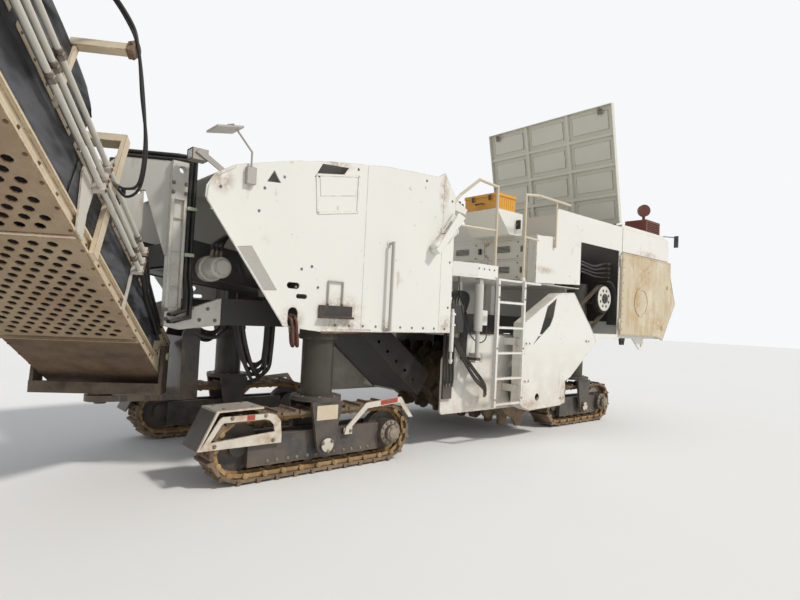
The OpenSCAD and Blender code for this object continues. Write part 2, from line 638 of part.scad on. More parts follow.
// Cooler core on its two feet
module cooler() color("dimgray") placed() {
    box([-4560, -900, 1700], [-4400, 900, 2700]);
    both() box([-4480, 700, deck_z + 2], [-4400, 900, 1701]);
}
door_y0 = half_w + 4;
door_y1 = half_w + 34;
door_hinge = [-2965, half_w + 20];
door_hinge_z = [1500, 2480];
module door_knuckles() for (z = door_hinge_z) {
    cyl_z(door_hinge[0], door_hinge[1], z - 50, z + 50, hinge_d);
    box([door_hinge[0] - 35, door_hinge[1] - 5, z - 50], [door_hinge[0], door_hinge[1] + 5, z + 50]);
}
door_outline = [[-2985, 2640], [-4680, 2640], [-4690, 2400], [-4905, 1930], [-4450, 1290],
    [-4260, 1350], [-2985, 1360]];
module rear_door_left() color("wheat") placed() {
    difference() {
        plate_xz(door_y0, door_y1, door_outline);
        plate_xz(door_y0 - 1, door_y0 + 22, [[-3010, 2612], [-4655, 2612], [-4664, 2405], [-4870, 1935],
            [-4445, 1330], [-4255, 1380], [-3010, 1388]]);
    }
    // Pressed ring
    difference() {
        cyl_y(-3640, 1900, door_y1, door_y1 + 8, 470);
        cyl_y(-3640, 1900, door_y1 - 5, door_y1 + 15, 400);
    }
    door_knuckles();
}
module rear_door_right() color("wheat") placed() mirror([0, 1, 0]) {
    difference() {
        plate_xz(door_y0, door_y1, door_outline);
        plate_xz(door_y0 - 1, door_y0 + 22, [[-3010, 2612], [-4655, 2612], [-4664, 2405], [-4870, 1935],
            [-4445, 1330], [-4255, 1380], [-3010, 1388]]);
    }
    door_knuckles();
}

// Hood over the engine, hinged across its rear edge and drawn closed before it is turned up
hood_w = 2 * half_w - 40;
hood_t = 30;
hood_start = 18;
module hood() color("white") placed() {
    translate([hinge_x, 0, hinge_z]) rotate([0, -hood_open, 0]) {
        difference() {
            box([hood_start, -hood_w / 2, -hood_rim + hood_t], [hood_l, hood_w / 2, hood_t]);
            box([hood_start + 12, -hood_w / 2 + 12, -hood_rim], [hood_l - 12, hood_w / 2 - 12, hood_t - 12]);
        }
        // Ribs in three bays by four
        for (i = [1 : 3]) box([10 + i * hood_l / 4 - 25, -hood_w / 2 + 12, -hood_rim + hood_t + 20],
            [10 + i * hood_l / 4 + 25, hood_w / 2 - 12, hood_t - 12]);
        for (y = [-1, 1]) box([22, y * hood_w / 6 - 25, -hood_rim + hood_t + 20],
            [hood_l - 12, y * hood_w / 6 + 25, hood_t - 12]);
        for (y = [-900, 0, 900]) cyl_y(0, 0, y - 60, y + 60, 24);
        for (y = [-900, 0, 900]) box([0, y - 55, -6], [hood_start + 6, y + 55, 6]);
    }
}

// Operator's platform
module platform() color("gainsboro") placed() {
    difference() {
        box([bay_front_x + 3, -side_out, floor_z - 25], [body_rear_x, side_out, floor_z]);
        both() for (i = [0 : 9]) box([-600 + i * 110, half_w - 250, floor_z - 30],
            [-560 + i * 110, half_w + 40, floor_z + 5]);
        both() plate_xy(floor_z - 30, floor_z + 5, [[420, side_out + 5], [body_rear_x + 5, half_w],
            [body_rear_x + 5, side_out + 5]]);
    }
    // Toe boards
    both() plate_xy(floor_z, floor_z + 140, [[70, side_out - 12], [70, side_out], [420, side_out],
        [body_rear_x, half_w], [body_rear_x, half_w - 14], [414, side_out - 12]]);
    // Legs down to the main frame's beams
    both() for (x = [-700, -50, 600])
        box([x, beam_y0 + 10, deck_z + beam_h], [x + 80, beam_y1 - 10, floor_z - 25]);
}
ladder_x = -170;
ladder_z0 = 470;
module ladder_left() {
    for (s = [-1, 1])
        box([ladder_x + s * ladder_w / 2 - 18, ladder_y - 20, ladder_z0],
            [ladder_x + s * ladder_w / 2 + 18, ladder_y + 20, floor_z - 5]);
    for (i = [0 : 4]) box([ladder_x - ladder_w / 2 + 18, ladder_y - 18, ladder_z0 + 20 + i * rung_step],
        [ladder_x + ladder_w / 2 - 18, ladder_y + 18, ladder_z0 + 45 + i * rung_step]);
}
module ladders() color("whitesmoke") placed() both() ladder_left();
rail_y = side_out - 30;
rail_top = floor_z + 1080;
module rails_left() {
    // Front rails, let into the front body's rear wall
    tube_run([[100, rail_y, floor_z], [100, rail_y, rail_top], [380, rail_y - 40, rail_top + 40],
        [600, half_w - 70, 2900], [690, half_w - 70, 2800], [tank_x0 - 20.3, half_w - 70, 2800]], rail_d);
    tube_run([[100, rail_y, floor_z + 560], [620, half_w - 40, floor_z + 560],
        [tank_x0 - 20.3, half_w - 40, floor_z + 560]], 0.8 * rail_d);
    tube_run([[-450, rail_y, floor_z], [-450, rail_y, rail_top + 10], [-760, rail_y - 20, rail_top + 55],
        [-1500, half_w + 24, rail_top + 55]], rail_d);
    bar([-450, rail_y, floor_z + 560], [bay_front_x + 20, rail_y - 30, floor_z + 560], 0.8 * rail_d);
    // Post on the outside of the bay's wall, clear of the hood
    cyl_z(-1180, half_w + 24, 2500, rail_top + 55, 0.8 * rail_d);
    box([-1200, half_w, 2500], [-1160, half_w + 24, 2600]);
}
module handrails() color("antiquewhite") placed() both() rails_left();
pod_y0 = half_w + 12;
pod_y1 = pod_y0 + 98;
module consoles() color("white") placed() {
    // Main desk behind the case, and the side panels by the front body
    difference() {
        plate_xz(250, 900, [[-350, 2940], [-900, 2940], [-900, 2632], [-620, 2632]]);
        plate_xz(270, 880, [[-400, 2920], [-880, 2920], [-880, 2652], [-620, 2652]]);
    }
    both() plate_xz(half_w - 400, half_w - 120, [[700, 2880], [420, 2760], [450, 2700], [720, 2740]]);
    both() box([640, half_w - 320, floor_z], [700, half_w - 200, 2745]);
    // Swung-out pods: tapering shells that lean over the sides
    both() {
        box([860, half_w, 2400], [960, pod_y0 + 2, 2460]);
        difference() {
            plate_xz(pod_y0, pod_y1, [[690, 2600], [800, 2640], [1120, 2200], [1060, 2160]]);
            plate_xz(pod_y0 + 14, pod_y1 - 14, [[700, 2640], [790, 2680], [1080, 2240], [1050, 2200]]);
        }
    }
}
module tool_case() color("orange") placed() {
    box([-740, 320, 2940], [-380, 890, 3111]);
    box([-750, 310, 3110], [-370, 900, 3150]);
    for (y = [450, 740]) box([-370, y, 3060], [-362, y + 50, 3140]);
}

// Nose frame: portal that carries the discharge conveyor's swing pins
post_y0 = 595;
post_y1 = 675;
nose_top = 2710;
// Arms from the posts, turned in towards the cross beam
arm_turn = 31;
arm_l = 545;
arm_z0 = 2440;
head_bore = 100;
lower_arm_z = 600;
arm_t = 55;
// Plates of the lower arm's hanging box, between the front tracks
drop_x0 = 3150;
drop_x1 = 3320;
drop_y = 240;
module nose_frame() color("white") placed() {
    both() difference() {
        union() {
            // Post with its arm, and the foot back to the main frame
            plate_xz(post_y0, post_y1, [[3505, 1270], [3640, 1300], [3640, nose_top], [3505, nose_top]]);
            translate([3560, post_y1, 0]) rotate([0, 0, -arm_turn])
                plate_xz(-50, 0, [[10, 1850], [110, 1900], [290, arm_z0], [arm_l, arm_z0],
                    [arm_l, nose_top], [10, nose_top]]);
            plate_xz(post_y0 + 20, post_y1, [[frame_front_x, deck_z], [3520, 1270], [3520, 1420],
                [frame_front_x, deck_z + beam_h]]);
        }
        // Lifting eye, and the hollow of the post's outer face
        cyl_y(3555, 2640, 500, 800, 60);
        plate_xz(post_y1 - 28, post_y1 + 1, [[3530, 1460], [3612, 1460], [3612, 2380], [3530, 2380]]);
    }
    // Cross beam with the upper swing pin's bore
    difference() {
        plate_xy(2560, nose_top - 20, [[3820, -480], [3820, 480], [4025, 360], [4025, -360]]);
        cyl_z(swing_x, 0, 2500, 2800, head_bore);
    }
    // Lower arm under the conveyor's tail
    difference() {
        union() {
            plate_xy(lower_arm_z, lower_arm_z + arm_t, [[drop_x0, -drop_y], [drop_x0, drop_y],
                [drop_x1, drop_y],
                [swing_x, 130], [swing_x, -130], [drop_x1, -drop_y]]);
            cyl_z(swing_x, 0, lower_arm_z, lower_arm_z + arm_t, 260);
        }
        cyl_z(swing_x, 0, lower_arm_z - 50, lower_arm_z + 200, head_bore);
    }
    // Box that hangs the arm from the frame's front cross member
    both() plate_xz(drop_y - 25, drop_y, [[drop_x0, lower_arm_z], [drop_x1, lower_arm_z],
        [drop_x1, deck_z - 120],
        [drop_x1 - 60, deck_z + 80], [drop_x0, deck_z + 80]]);
    box([drop_x0, -drop_y, lower_arm_z], [drop_x0 + 25, drop_y, deck_z + 80]);
    box([drop_x1 - 25, -drop_y, lower_arm_z + arm_t - 5], [drop_x1, drop_y, deck_z - 130]);
}
// Four hoses over the left arm and down behind its post
hose_d = 32;
arm_c = cos(arm_turn);
arm_s = sin(arm_turn);
function on_arm(q, s, z) = [3560 + q * arm_c - (25 - s) * arm_s, post_y1 - q * arm_s - (25 - s) * arm_c, z];
module nose_hoses() color("black") placed() for (s = [-19, 19]) for (t = [0, 38])
    tube_run([on_arm(500, s, nose_top + 17 + t), on_arm(40, s, nose_top + 17 + t),
        [3484 - t, post_y1 - 20 + s, nose_top + 20 + t], [3484 - t, post_y1 - 20 + s, 1750],
        [3484 - t, post_y1 + 38 + s, 1600], [3484 - t, post_y1 + 38 + s, 1440 - 1.6 * t],
        [s > 0 ? 3605 : 3560, post_y1 + 38 + s, 1400 - 1.6 * t],
        [s > 0 ? 3605 : 3560, post_y1 + 0.3, 1400 - 1.6 * t]], hose_d, $fn = 16);

// Gear on the left between the housing and the platform's edge, and the shroud over the clutch's pulley
wall_yl = hous_yl + wall_t;
shroud_r = pulley_d / 2 + 45;
module side_gear() color("dimgray") placed() {
    // Column and valve block on the housing's wall
    box([500, wall_yl, 560], [640, wall_yl + 30, 1400]);
    box([480, wall_yl + 20, 1330], [740, half_w - 50, 1640]);
    // Side plate's lift cylinder between its bracket and the platform
    box([285, wall_yl, 1015], [355, side_out - 30, 1050]);
    cyl_z(320, side_out - 60, 1049, 1351, 50);
    cyl_z(320, side_out - 60, 1350, 1900, 100);
    box([290, side_out - 90, 1890], [350, side_out - 30, floor_z - 25]);
    // Shroud with its leg and tab to the bulkhead
    plate_xz(belt_y0 - 12, bay_in - 16, concat(
        [for (a = [80 : 15 : 185]) [pulley_x + (shroud_r + 8) * cos(a), pulley_z + (shroud_r + 8) * sin(a)]],
        [[pulley_x - shroud_r - 8, 1510], [pulley_x - shroud_r, 1510]],
        [for (a = [185 : -15 : 80]) [pulley_x + shroud_r * cos(a), pulley_z + shroud_r * sin(a)]]));
    box([bay_seam_x + 14, belt_y0, 1520], [pulley_x - shroud_r - 2, bay_in - 20, 1580]);
}
module swung() translate([swing_x, 0, 0]) rotate([0, 0, swing_rest]) children();
yoke_half = conv_w / 2 + 12;
lift_pin_d = 70;
cyl_head_x = 100;
cyl_head_z = 2380;
module swing_yoke() color("lightgray") placed() swung() {
    // Lower pin, cradle and cheeks that hold the lift pins
    cyl_z(0, 0, lower_arm_z - 25, lower_arm_z + arm_t + 5, head_bore - 0.1);
    cyl_z(0, 0, lower_arm_z + arm_t + 0.3, lower_arm_z + 76, 200);
    box([-60, -yoke_half - 30, lower_arm_z + 75], [130, yoke_half + 30, lower_arm_z + 100]);
    box([90, -yoke_half - 30, lower_arm_z + 75], [130, yoke_half + 30, lower_arm_z + 175]);
    for (s = [-1, 1]) difference() {
        plate_xz(s > 0 ? yoke_half : -yoke_half - 30, s > 0 ? yoke_half + 30 : -yoke_half,
            [[-60, lower_arm_z + 90], [130, lower_arm_z + 90], [80, lift_z + 90], [-80, lift_z + 90]]);
        cyl_y(0, lift_z, -800, 800, lift_pin_d + 0.1);
    }
    // Upper pin and the clevis of the lift cylinder
    cyl_z(0, 0, 2490, 2780, head_bore - 0.1);
    cyl_z(0, 0, 2470, 2560 - 0.3, 200);
    for (s = [-1, 1]) difference() {
        plate_xz(s > 0 ? 45 : -75, s > 0 ? 75 : -45, [[-60, 2480], [60, 2480],
            [cyl_head_x + 60, cyl_head_z + 20],
            [cyl_head_x + 40, cyl_head_z - 50], [cyl_head_x - 50, cyl_head_z - 40]]);
        cyl_y(cyl_head_x, cyl_head_z, -100, 100, 50.1);
    }
}

// Discharge conveyor, drawn level about its lift pins: X along it, Y to its left
module raised() swung() translate([0, 0, lift_z]) rotate([0, -rise_rest, 0]) children();
pan_w0 = -170;
tail_x = -tail_back;
head_x = conv_l - tail_back;
rail_h = 110;
flange_h = 18;
// Lift cylinder's upper pin on the arch, and the arch's top
eye_u = 1900;
eye_w = 620;
arch_w = 800;
rail_w = 60;
// Canvas over the conveyor: its thickness, outer face, lower edge and the high cover's ends
cloth_t = 6;
canvas_v = conv_w / 2 - 9.7 + cloth_t;
canvas_w = pan_w0 + rail_h + 0.3;
cover_x0 = 2360;
cover_x1 = head_x - 500;
// Half outline of the high cover, t inside its outer face and down to w0
function canvas(t, w0) = [[canvas_v - t, w0], [canvas_v - t, 470], [canvas_v - 30 - t, 560 - t / 2],
    [canvas_v - 100 - t / 2, 625 - t], [canvas_v - 300, 665 - t], [0, 675 - t]];
module canvas_run(x0, x1, t, w0) {
    half = canvas(t, w0);
    translate([x0, 0, 0]) rotate([90, 0, 90]) linear_extrude(x1 - x0)
        polygon(concat(half, [for (i = [len(half) - 2 : -1 : 0]) [-half[i][0], half[i][1]]]));
}
module conveyor_frame() color("antiquewhite") placed() raised() {
    both() difference() {
        union() {
            // Lower edge beam, upper rail and the posts between them
            box([tail_x, conv_w / 2 - rail_w, pan_w0], [head_x, conv_w / 2, pan_w0 + rail_h]);
            box([tail_x + 40, conv_w / 2 - 40, pan_w0 + conv_h - 50],
                [head_x, conv_w / 2 - 10, pan_w0 + conv_h]);
            for (x = [tail_x + 60 : 620 : head_x - 60])
                box([x, conv_w / 2 - 34, pan_w0 + rail_h - 5],
                    [x + 60, conv_w / 2 - 14, pan_w0 + conv_h - 45]);
            cyl_y(0, 0, conv_w / 2 - 60, conv_w / 2, 180);
            // Steel side of the hopper at the tail
            box([tail_x + 60, conv_w / 2 - 34, pan_w0 + rail_h - 5],
                [tail_x + 685, conv_w / 2 - 14, pan_w0 + conv_h - 45]);
        }
        // The edge beam is a channel, open to the outside
        box([200, conv_w / 2 - 22, pan_w0 + flange_h],
            [head_x + 1, conv_w / 2 + 1, pan_w0 + rail_h - flange_h]);
        cyl_y(0, 0, conv_w / 2 - 80, conv_w / 2 + 20, lift_pin_d + 0.1);
        cyl_y(tail_x + 150, 0, 0, 800, 60);
        cyl_y(head_x - 150, 0, 0, 800, 60);
    }
    both() cyl_y(0, 0, conv_w / 2 - 55, conv_w / 2 + 60, lift_pin_d);
    // Cross members between the belt's runs
    for (x = [420 : 1240 : head_x - 300])
        box([x, -conv_w / 2 + 34, -20], [x + 60, conv_w / 2 - 34, 30]);
    // End rollers on their shafts
    for (x = [tail_x + 150, head_x - 150]) {
        cyl_y(x, 0, -belt_w / 2 - 10, belt_w / 2 + 10, roller_d - 2 * belt_t - 1);
        cyl_y(x, 0, -conv_w / 2 + 2, conv_w / 2 - 2, 59);
    }
    // Hoops that carry the high cover
    for (x = [cover_x0 + 400 : 1240 : cover_x1 - 60]) difference() {
        canvas_run(x, x + 30, cloth_t + 0.3, pan_w0 + conv_h - 5);
        canvas_run(x - 1, x + 31, cloth_t + 26, pan_w0 + conv_h - 60);
    }
}
// Arch that the lift cylinder pulls on
module lift_arch() color("dimgray") placed() raised() {
    both() box([eye_u - 40, conv_w / 2, pan_w0 + 2], [eye_u + 40, conv_w / 2 + 30, arch_w]);
    box([eye_u - 40, -conv_w / 2 - 30, arch_w - 60], [eye_u + 40, conv_w / 2 + 30, arch_w]);
    both() box([eye_u - 35, 36, eye_w - 45], [eye_u + 35, 56, arch_w - 59]);
    both() cyl_y(eye_u, eye_w, 55, 66, 70);
}
module conveyor_belt() color("black") placed() raised() {
    x0 = tail_x + 150;
    x1 = head_x - 150;
    difference() {
        union() {
            cyl_y(x0, 0, -belt_w / 2, belt_w / 2, roller_d);
            cyl_y(x1, 0, -belt_w / 2, belt_w / 2, roller_d);
            box([x0, -belt_w / 2, -roller_d / 2], [x1, belt_w / 2, roller_d / 2]);
            // Cleats
            for (x = [x0 + 200 : 400 : x1 - 100])
                box([x, -belt_w / 2 + 60, roller_d / 2 - 1], [x + 20, belt_w / 2 - 60, roller_d / 2 + 25]);
        }
        cyl_y(x0, 0, -belt_w, belt_w, roller_d - 2 * belt_t);
        cyl_y(x1, 0, -belt_w, belt_w, roller_d - 2 * belt_t);
        box([x0, -belt_w, -roller_d / 2 + belt_t], [x1, belt_w, roller_d / 2 - belt_t]);
    }
}
// Underside guards: panels from the tail up, each with staggered rows of oval holes
guard_panels = [[740, 2105], [2135, 3370]];
hole_d = 60;
hole_step = 76;
module conveyor_guards() color("tan") placed() raised() {
    for (g = guard_panels) difference() {
        box([g[0], -conv_w / 2 + 5, pan_w0 - 8], [g[1], conv_w / 2 - 5, pan_w0]);
        for (i = [0 : floor((g[1] - g[0] - 130) / hole_step)]) for (j = [0 : 7])
            translate([g[0] + 70 + i * hole_step, (j - 3.5) * 104 + (i % 2) * 52 - 26, pan_w0 - 20])
                cylinder(h = 40, d = hole_d, $fn = 8);
    }
    // Plain tail plate and lip, and the plain plates further up
    box([tail_x, -conv_w / 2 + 5, pan_w0 - 8], [705, conv_w / 2 - 5, pan_w0]);
    box([705, -conv_w / 2 + 5, pan_w0 - 24], [720, conv_w / 2 - 5, pan_w0]);
    box([3400, -conv_w / 2 + 5, pan_w0 - 8], [4700, conv_w / 2 - 5, pan_w0]);
    // Rubber flap bar under the tail
    box([tail_x - 14, -conv_w / 2 + 5, pan_w0 - 30], [tail_x, conv_w / 2 - 5, pan_w0 + 90]);
}
// Outline of the high cover's front end, from its place along the conveyor
cover_front = [[0, 490], [80, 590], [180, 640], [360, 672]];
module conveyor_cover() color("black") placed() raised() {
    // Low canvas sides from the hopper to the high cover
    both() box([300, canvas_v - cloth_t, canvas_w], [cover_x0 - 2, canvas_v, pan_w0 + conv_h + 20]);
    difference() {
        canvas_run(cover_x0, cover_x1, 0, canvas_w);
        canvas_run(cover_x0 - 1, cover_x1 + 1, cloth_t, canvas_w - 10);
        translate([cover_x0, 0, 0])
            plate_xz(-conv_w, conv_w, concat([[-10, 490]], cover_front, [[360, 800], [-10, 800]]));
    }
    // Sloping front end
    intersection() {
        canvas_run(cover_x0, cover_x0 + 400, 1, canvas_w);
        translate([cover_x0, 0, 0]) plate_xz(-conv_w, conv_w, concat([[0, 400]], cover_front,
            [[368, 673], [368, 663], [360, 662], [182, 633], [85, 584], [6, 487], [6, 400]]));
    }
}
// Hydraulic tubes along the left side: height over the pan and diameter of each
tube_rows = [[345, 34], [420, 34], [512, 34]];
tube_x0 = 1170;
tube_v = conv_w / 2 + 55;
module conveyor_tubes() color("antiquewhite") placed() raised() {
    for (t = tube_rows) bar([tube_x0, tube_v, pan_w0 + t[0]], [head_x - 600, tube_v, pan_w0 + t[0]], t[1]);
    // Clamps, each a block per tube on an upright
    for (x = [1185, 2110, 3600, 5100, 6600]) {
        box([x, conv_w / 2, pan_w0 + 2], [x + 40, conv_w / 2 + 10, pan_w0 + 550]);
        for (t = tube_rows) difference() {
            box([x, conv_w / 2 + 9, pan_w0 + t[0] - 28], [x + 40, tube_v + 26, pan_w0 + t[0] + 28]);
            cyl_x(tube_v, pan_w0 + t[0], x - 10, x + 50, t[1] + 0.6);
        }
    }
    // Bracket plate beside the arch
    plate_xz(conv_w / 2, conv_w / 2 + 10, [[2070, pan_w0 + 2], [2170, pan_w0 + 2], [2300, 140], [2300, 200],
        [2180, 200], [2150, 140]]);
}
// Hoses from the tubes down to the hopper's side
hopper_hose_d = 28;
hose_v = canvas_v + 16;
module conveyor_hoses() color("black") placed() raised() for (i = [0 : 2]) {
    w0 = pan_w0 + tube_rows[i][0];
    w1 = 55 + 60 * i;
    tube_run([[tube_x0 - 0.3, tube_v, w0], [tube_x0 - 60, tube_v, w0], [820, hose_v, (w0 + w1) / 2 + 40],
        [450, hose_v, w1 + 40], [250, hose_v, w1], [250, conv_w / 2 - 13.7, w1]], hopper_hose_d, $fn = 16);
}

// Lift cylinder, drawn along X from its clevis
cyl_rest = [1299, 57];
cyl_len = norm(cyl_rest);
cyl_tilt = atan2(cyl_rest[1], cyl_rest[0]);
module along_cylinder()
    swung() translate([cyl_head_x, 0, cyl_head_z]) rotate([0, -cyl_tilt, 0]) children();
barrel_l = 960;
barrel_x0 = 90;
rod_x0 = 340;
module lift_barrel() color("dimgray") placed() along_cylinder() {
    difference() {
        union() {
            cyl_x(0, 0, barrel_x0, barrel_l, 130);
            cyl_y(0, 0, -40, 40, 110);
            box([0, -38, -45], [barrel_x0 + 2, 38, 45]);
        }
        cyl_x(0, 0, barrel_x0 + 6, barrel_l + 1, 70.1);
        cyl_y(0, 0, -100, 100, 50.1);
    }
    cyl_y(0, 0, -85, 85, 50);
}
module lift_rod() color("silver") placed() along_cylinder() {
    cyl_x(0, 0, rod_x0, cyl_len - 45, 70);
    cyl_y(cyl_len, 0, -28, 28, 110);
    box([cyl_len - 80, -28, -34], [cyl_len - 20, 28, 34]);
}

module front_fittings() color("silver") placed() {
    // Front mirror on its arm, with the square lamp, on both sides
    both() {
        box([3160, half_w, 2500], [3240, half_w + 40, 2640]);
        tube_run([[3200, half_w + 20, 2640], [3210, half_w + 40, 2760], [3400, half_w + 80, 2930],
            [3440, half_w + 60, 2920]], 16);
        translate([3440, half_w + 40, 2895]) rotate([0, 12, 0]) box([-110, -130, -8], [110, 90, 8]);
    }
    // Work lamp on the nose strap
    plate_xz(900, 912, [[3270, 2657.5], [3330, 2640.4], [3540, 2760], [3500, 2795]]);
    box([3430, 780, 2700], [3560, 900, 2795]);
    // Folding step with its hoop, grab bar and the anti-slip plate on each side
    both() {
        box([2110, half_w, 1445], [2470, half_w + 25, 1545]);
        box([2110, half_w, 1425], [2470, half_w + 60, 1446]);
        tube_run([[2380, half_w + 14, 1500], [2380, half_w + 14, 1768], [2220, half_w + 14, 1768],
            [2220, half_w + 14, 1500]], 16);
        for (z = [1340, 2200]) cyl_y(1670, z, half_w, half_w + 60, 30);
        cyl_z(1670, half_w + 60, 1325, 2215, 34);
        plate_xz(half_w, half_w + 3, [[3280, 1980], [3150, 2000], [2900, 1650], [3030, 1640]]);
    }
}
module rear_fittings() color("maroon") placed() {
    // Louvred box, with the mirror's arm out of its side
    difference() {
        box([-4600, 700, 3090], [-4090, 1080, 3345]);
        for (i = [0 : 5]) box([-4560, 1060, 3130 + i * 32], [-4130, 1081, 3146 + i * 32]);
    }
    bar([-4440, 1000, 3115], [-4850, 1265, 3115], 16);
    box([-4862, 1230, 2935], [-4838, 1300, 3140]);
    // Pipe with its upright disc, and the air cleaner
    cyl_z(-4360, 900, 3344, 3555, 50);
    translate([-4360, 900, 3555]) rotate([0, 90, 50]) cylinder(h = 60, d = 210, center = true);
    cyl_z(-3700, 700, 3090, 3331, 90);
    cyl_z(-3700, 700, 3330, 3420, 230);
}
module pump_drive() color("dimgray") placed() {
    // Motor under the front body, beside the primary conveyor's head
    cyl_y(3200, 1830, prim_w / 2, prim_w / 2 + 90, 240);
    cyl_y(3200, 1830, prim_w / 2 + 90, prim_w / 2 + 300, 190);
    cyl_y(3200, 1830, prim_w / 2 + 300, prim_w / 2 + 350, 130);
}

module at_fl() placed() translate([front_leg_x, front_leg_y, 0]) children();
module at_fr() placed() translate([front_leg_x, -front_leg_y, 0]) mirror([0, 1, 0]) children();
module at_rl() placed() translate([rear_leg_x, rear_leg_y, 0]) children();
module at_rr() placed() translate([rear_leg_x, -rear_leg_y, 0]) mirror([0, 1, 0]) children();
module leg_fl() color("olive") at_fl() leg();
module leg_fr() color("olive") at_fr() leg();
module leg_rl() color("olive") at_rl() leg();
module leg_rr() color("olive") at_rr() leg();
module yoke_fl() color("dimgray") at_fl() yoke();
module yoke_fr() color("dimgray") at_fr() yoke();
module yoke_rl() color("dimgray") at_rl() yoke();
module yoke_rr() color("dimgray") at_rr() yoke();
module bogie_fl() color("dimgray") at_fl() bogie(front_track_l, 6, true);
module bogie_fr() color("dimgray") at_fr() bogie(front_track_l, 6, true);
module bogie_rl() color("dimgray") at_rl() bogie(rear_track_l, 4, false);
module bogie_rr() color("dimgray") at_rr() bogie(rear_track_l, 4, false);
module track_fl() color("tan") at_fl() track_loop(front_track_l, front_shoes);
module track_fr() color("tan") at_fr() track_loop(front_track_l, front_shoes);
module track_rl() color("tan") at_rl() track_loop(rear_track_l, rear_shoes);
module track_rr() color("tan") at_rr() track_loop(rear_track_l, rear_shoes);

main_frame();
cross_members();
leg_sleeves();
front_body();
front_tank();
primary_conveyor();
primary_belt();
cutter_housing();
moldboard();
drum();
belt_guard();
belt_drive();
engine();
engine_walls();
bay_panels();
bulkhead();
hydraulic_tank();
rear_body();
cooler();
rear_door_left();
rear_door_right();
hood();
platform();
ladders();
handrails();
consoles();
tool_case();
nose_frame();
nose_hoses();
side_gear();
swing_yoke();
conveyor_frame();
lift_arch();
conveyor_guards();
conveyor_belt();
conveyor_cover();
conveyor_tubes();
conveyor_hoses();
lift_barrel();
lift_rod();
front_fittings();
rear_fittings();
pump_drive();
leg_fl();
leg_fr();
leg_rl();
leg_rr();
yoke_fl();
yoke_fr();
yoke_rl();
yoke_rr();
bogie_fl();
bogie_fr();
bogie_rl();
bogie_rr();
track_fl();
track_fr();
track_rl();
track_rr();
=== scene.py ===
import math

import bmesh
import bpy
from mathutils import Matrix, Vector


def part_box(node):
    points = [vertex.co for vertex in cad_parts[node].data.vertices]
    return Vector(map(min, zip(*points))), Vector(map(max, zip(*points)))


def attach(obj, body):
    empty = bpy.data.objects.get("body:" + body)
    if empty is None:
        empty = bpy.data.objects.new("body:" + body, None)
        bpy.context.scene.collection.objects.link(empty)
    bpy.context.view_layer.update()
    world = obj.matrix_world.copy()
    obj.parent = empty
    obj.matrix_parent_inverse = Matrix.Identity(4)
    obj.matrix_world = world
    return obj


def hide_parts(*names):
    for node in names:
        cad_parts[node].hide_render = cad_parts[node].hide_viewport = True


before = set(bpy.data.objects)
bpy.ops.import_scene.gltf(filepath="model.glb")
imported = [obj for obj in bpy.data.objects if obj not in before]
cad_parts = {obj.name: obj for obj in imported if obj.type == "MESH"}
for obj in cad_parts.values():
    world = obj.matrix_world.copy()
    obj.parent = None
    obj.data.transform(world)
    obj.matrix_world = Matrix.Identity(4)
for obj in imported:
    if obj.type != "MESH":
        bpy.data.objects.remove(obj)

bl_info = {
    "name": "Milling machine dressing",
    "version": (1, 0, 0),
    "blender": (4, 5, 0),
    "location": "View3D > Sidebar > Milling machine",
    "description": "Gives the milling machine's solids their paint, wear, hoses and small fittings",
    "category": "Object",
}

X, Y, Z = Vector((1, 0, 0)), Vector((0, 1, 0)), Vector((0, 0, 1))
LEFT_AND_RIGHT = (1, -1)

# Each corner's leg: its axis from the machine's datum, and its side
CORNERS = {"fl": (2.31, 1.0, 1), "fr": (2.31, -1.0, -1), "rl": (-2.43, 0.79, 1), "rr": (-2.43, -0.79, -1)}

# The datum, found from the front left leg
_leg_low, _leg_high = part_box("leg_fl")
DATUM = (_leg_low + _leg_high) / 2 - Vector((*CORNERS["fl"][:2], 0))
DATUM.z = 0.0

# Upright planes beside the machine, from its middle outwards
ENGINE_SIDE = 0.52
POST_FACE = 0.675
SIDE_PLATE = 1.22
DOOR_FACE = 1.254
HANDRAIL = 1.28
GUARD_FACE = 1.31
LADDER = 1.33

# The discharge conveyor's own directions: along it, to its left, and up from its belt
SWING_AXIS = Vector((3.93, 0.0, 1.01)) + DATUM
SWUNG = math.radians(58.0)
RAISED = math.radians(27.5)
ALONG = Vector((math.cos(SWUNG) * math.cos(RAISED), math.sin(SWUNG) * math.cos(RAISED), math.sin(RAISED)))
ACROSS = Vector((-math.sin(SWUNG), math.cos(SWUNG), 0.0))
UP = ALONG.cross(ACROSS)

# The open hood: its hinge, its turn, and its own directions along it and out through its skin
HOOD_HINGE = Vector((-2.995, 0.0, 3.085)) + DATUM
HOOD_TURN = math.radians(78.0)
HOOD_ALONG = Vector((math.cos(HOOD_TURN), 0, math.sin(HOOD_TURN)))
HOOD_OUT = Vector((-math.sin(HOOD_TURN), 0, math.cos(HOOD_TURN)))


def at(x, y, z):
    """A point given from the machine's datum, in metres."""
    return Vector((x, y, z)) + DATUM


def on_conveyor(u, v, w):
    """A point on the discharge conveyor: along it, to its left and up from its pins."""
    return SWING_AXIS + ALONG * u + ACROSS * v + UP * w


def in_hood(x, y, z):
    """A point on the open hood: along it from its hinge, to its left, and out towards its skin."""
    return HOOD_HINGE + HOOD_ALONG * x + Y * y + HOOD_OUT * z


# ---------------------------------------------------------------- sizes and colours


def colour_setting(name, description, default):
    return bpy.props.FloatVectorProperty(name=name, description=description, subtype="COLOR", size=3,
                                         default=default, min=0.0, max=1.0)


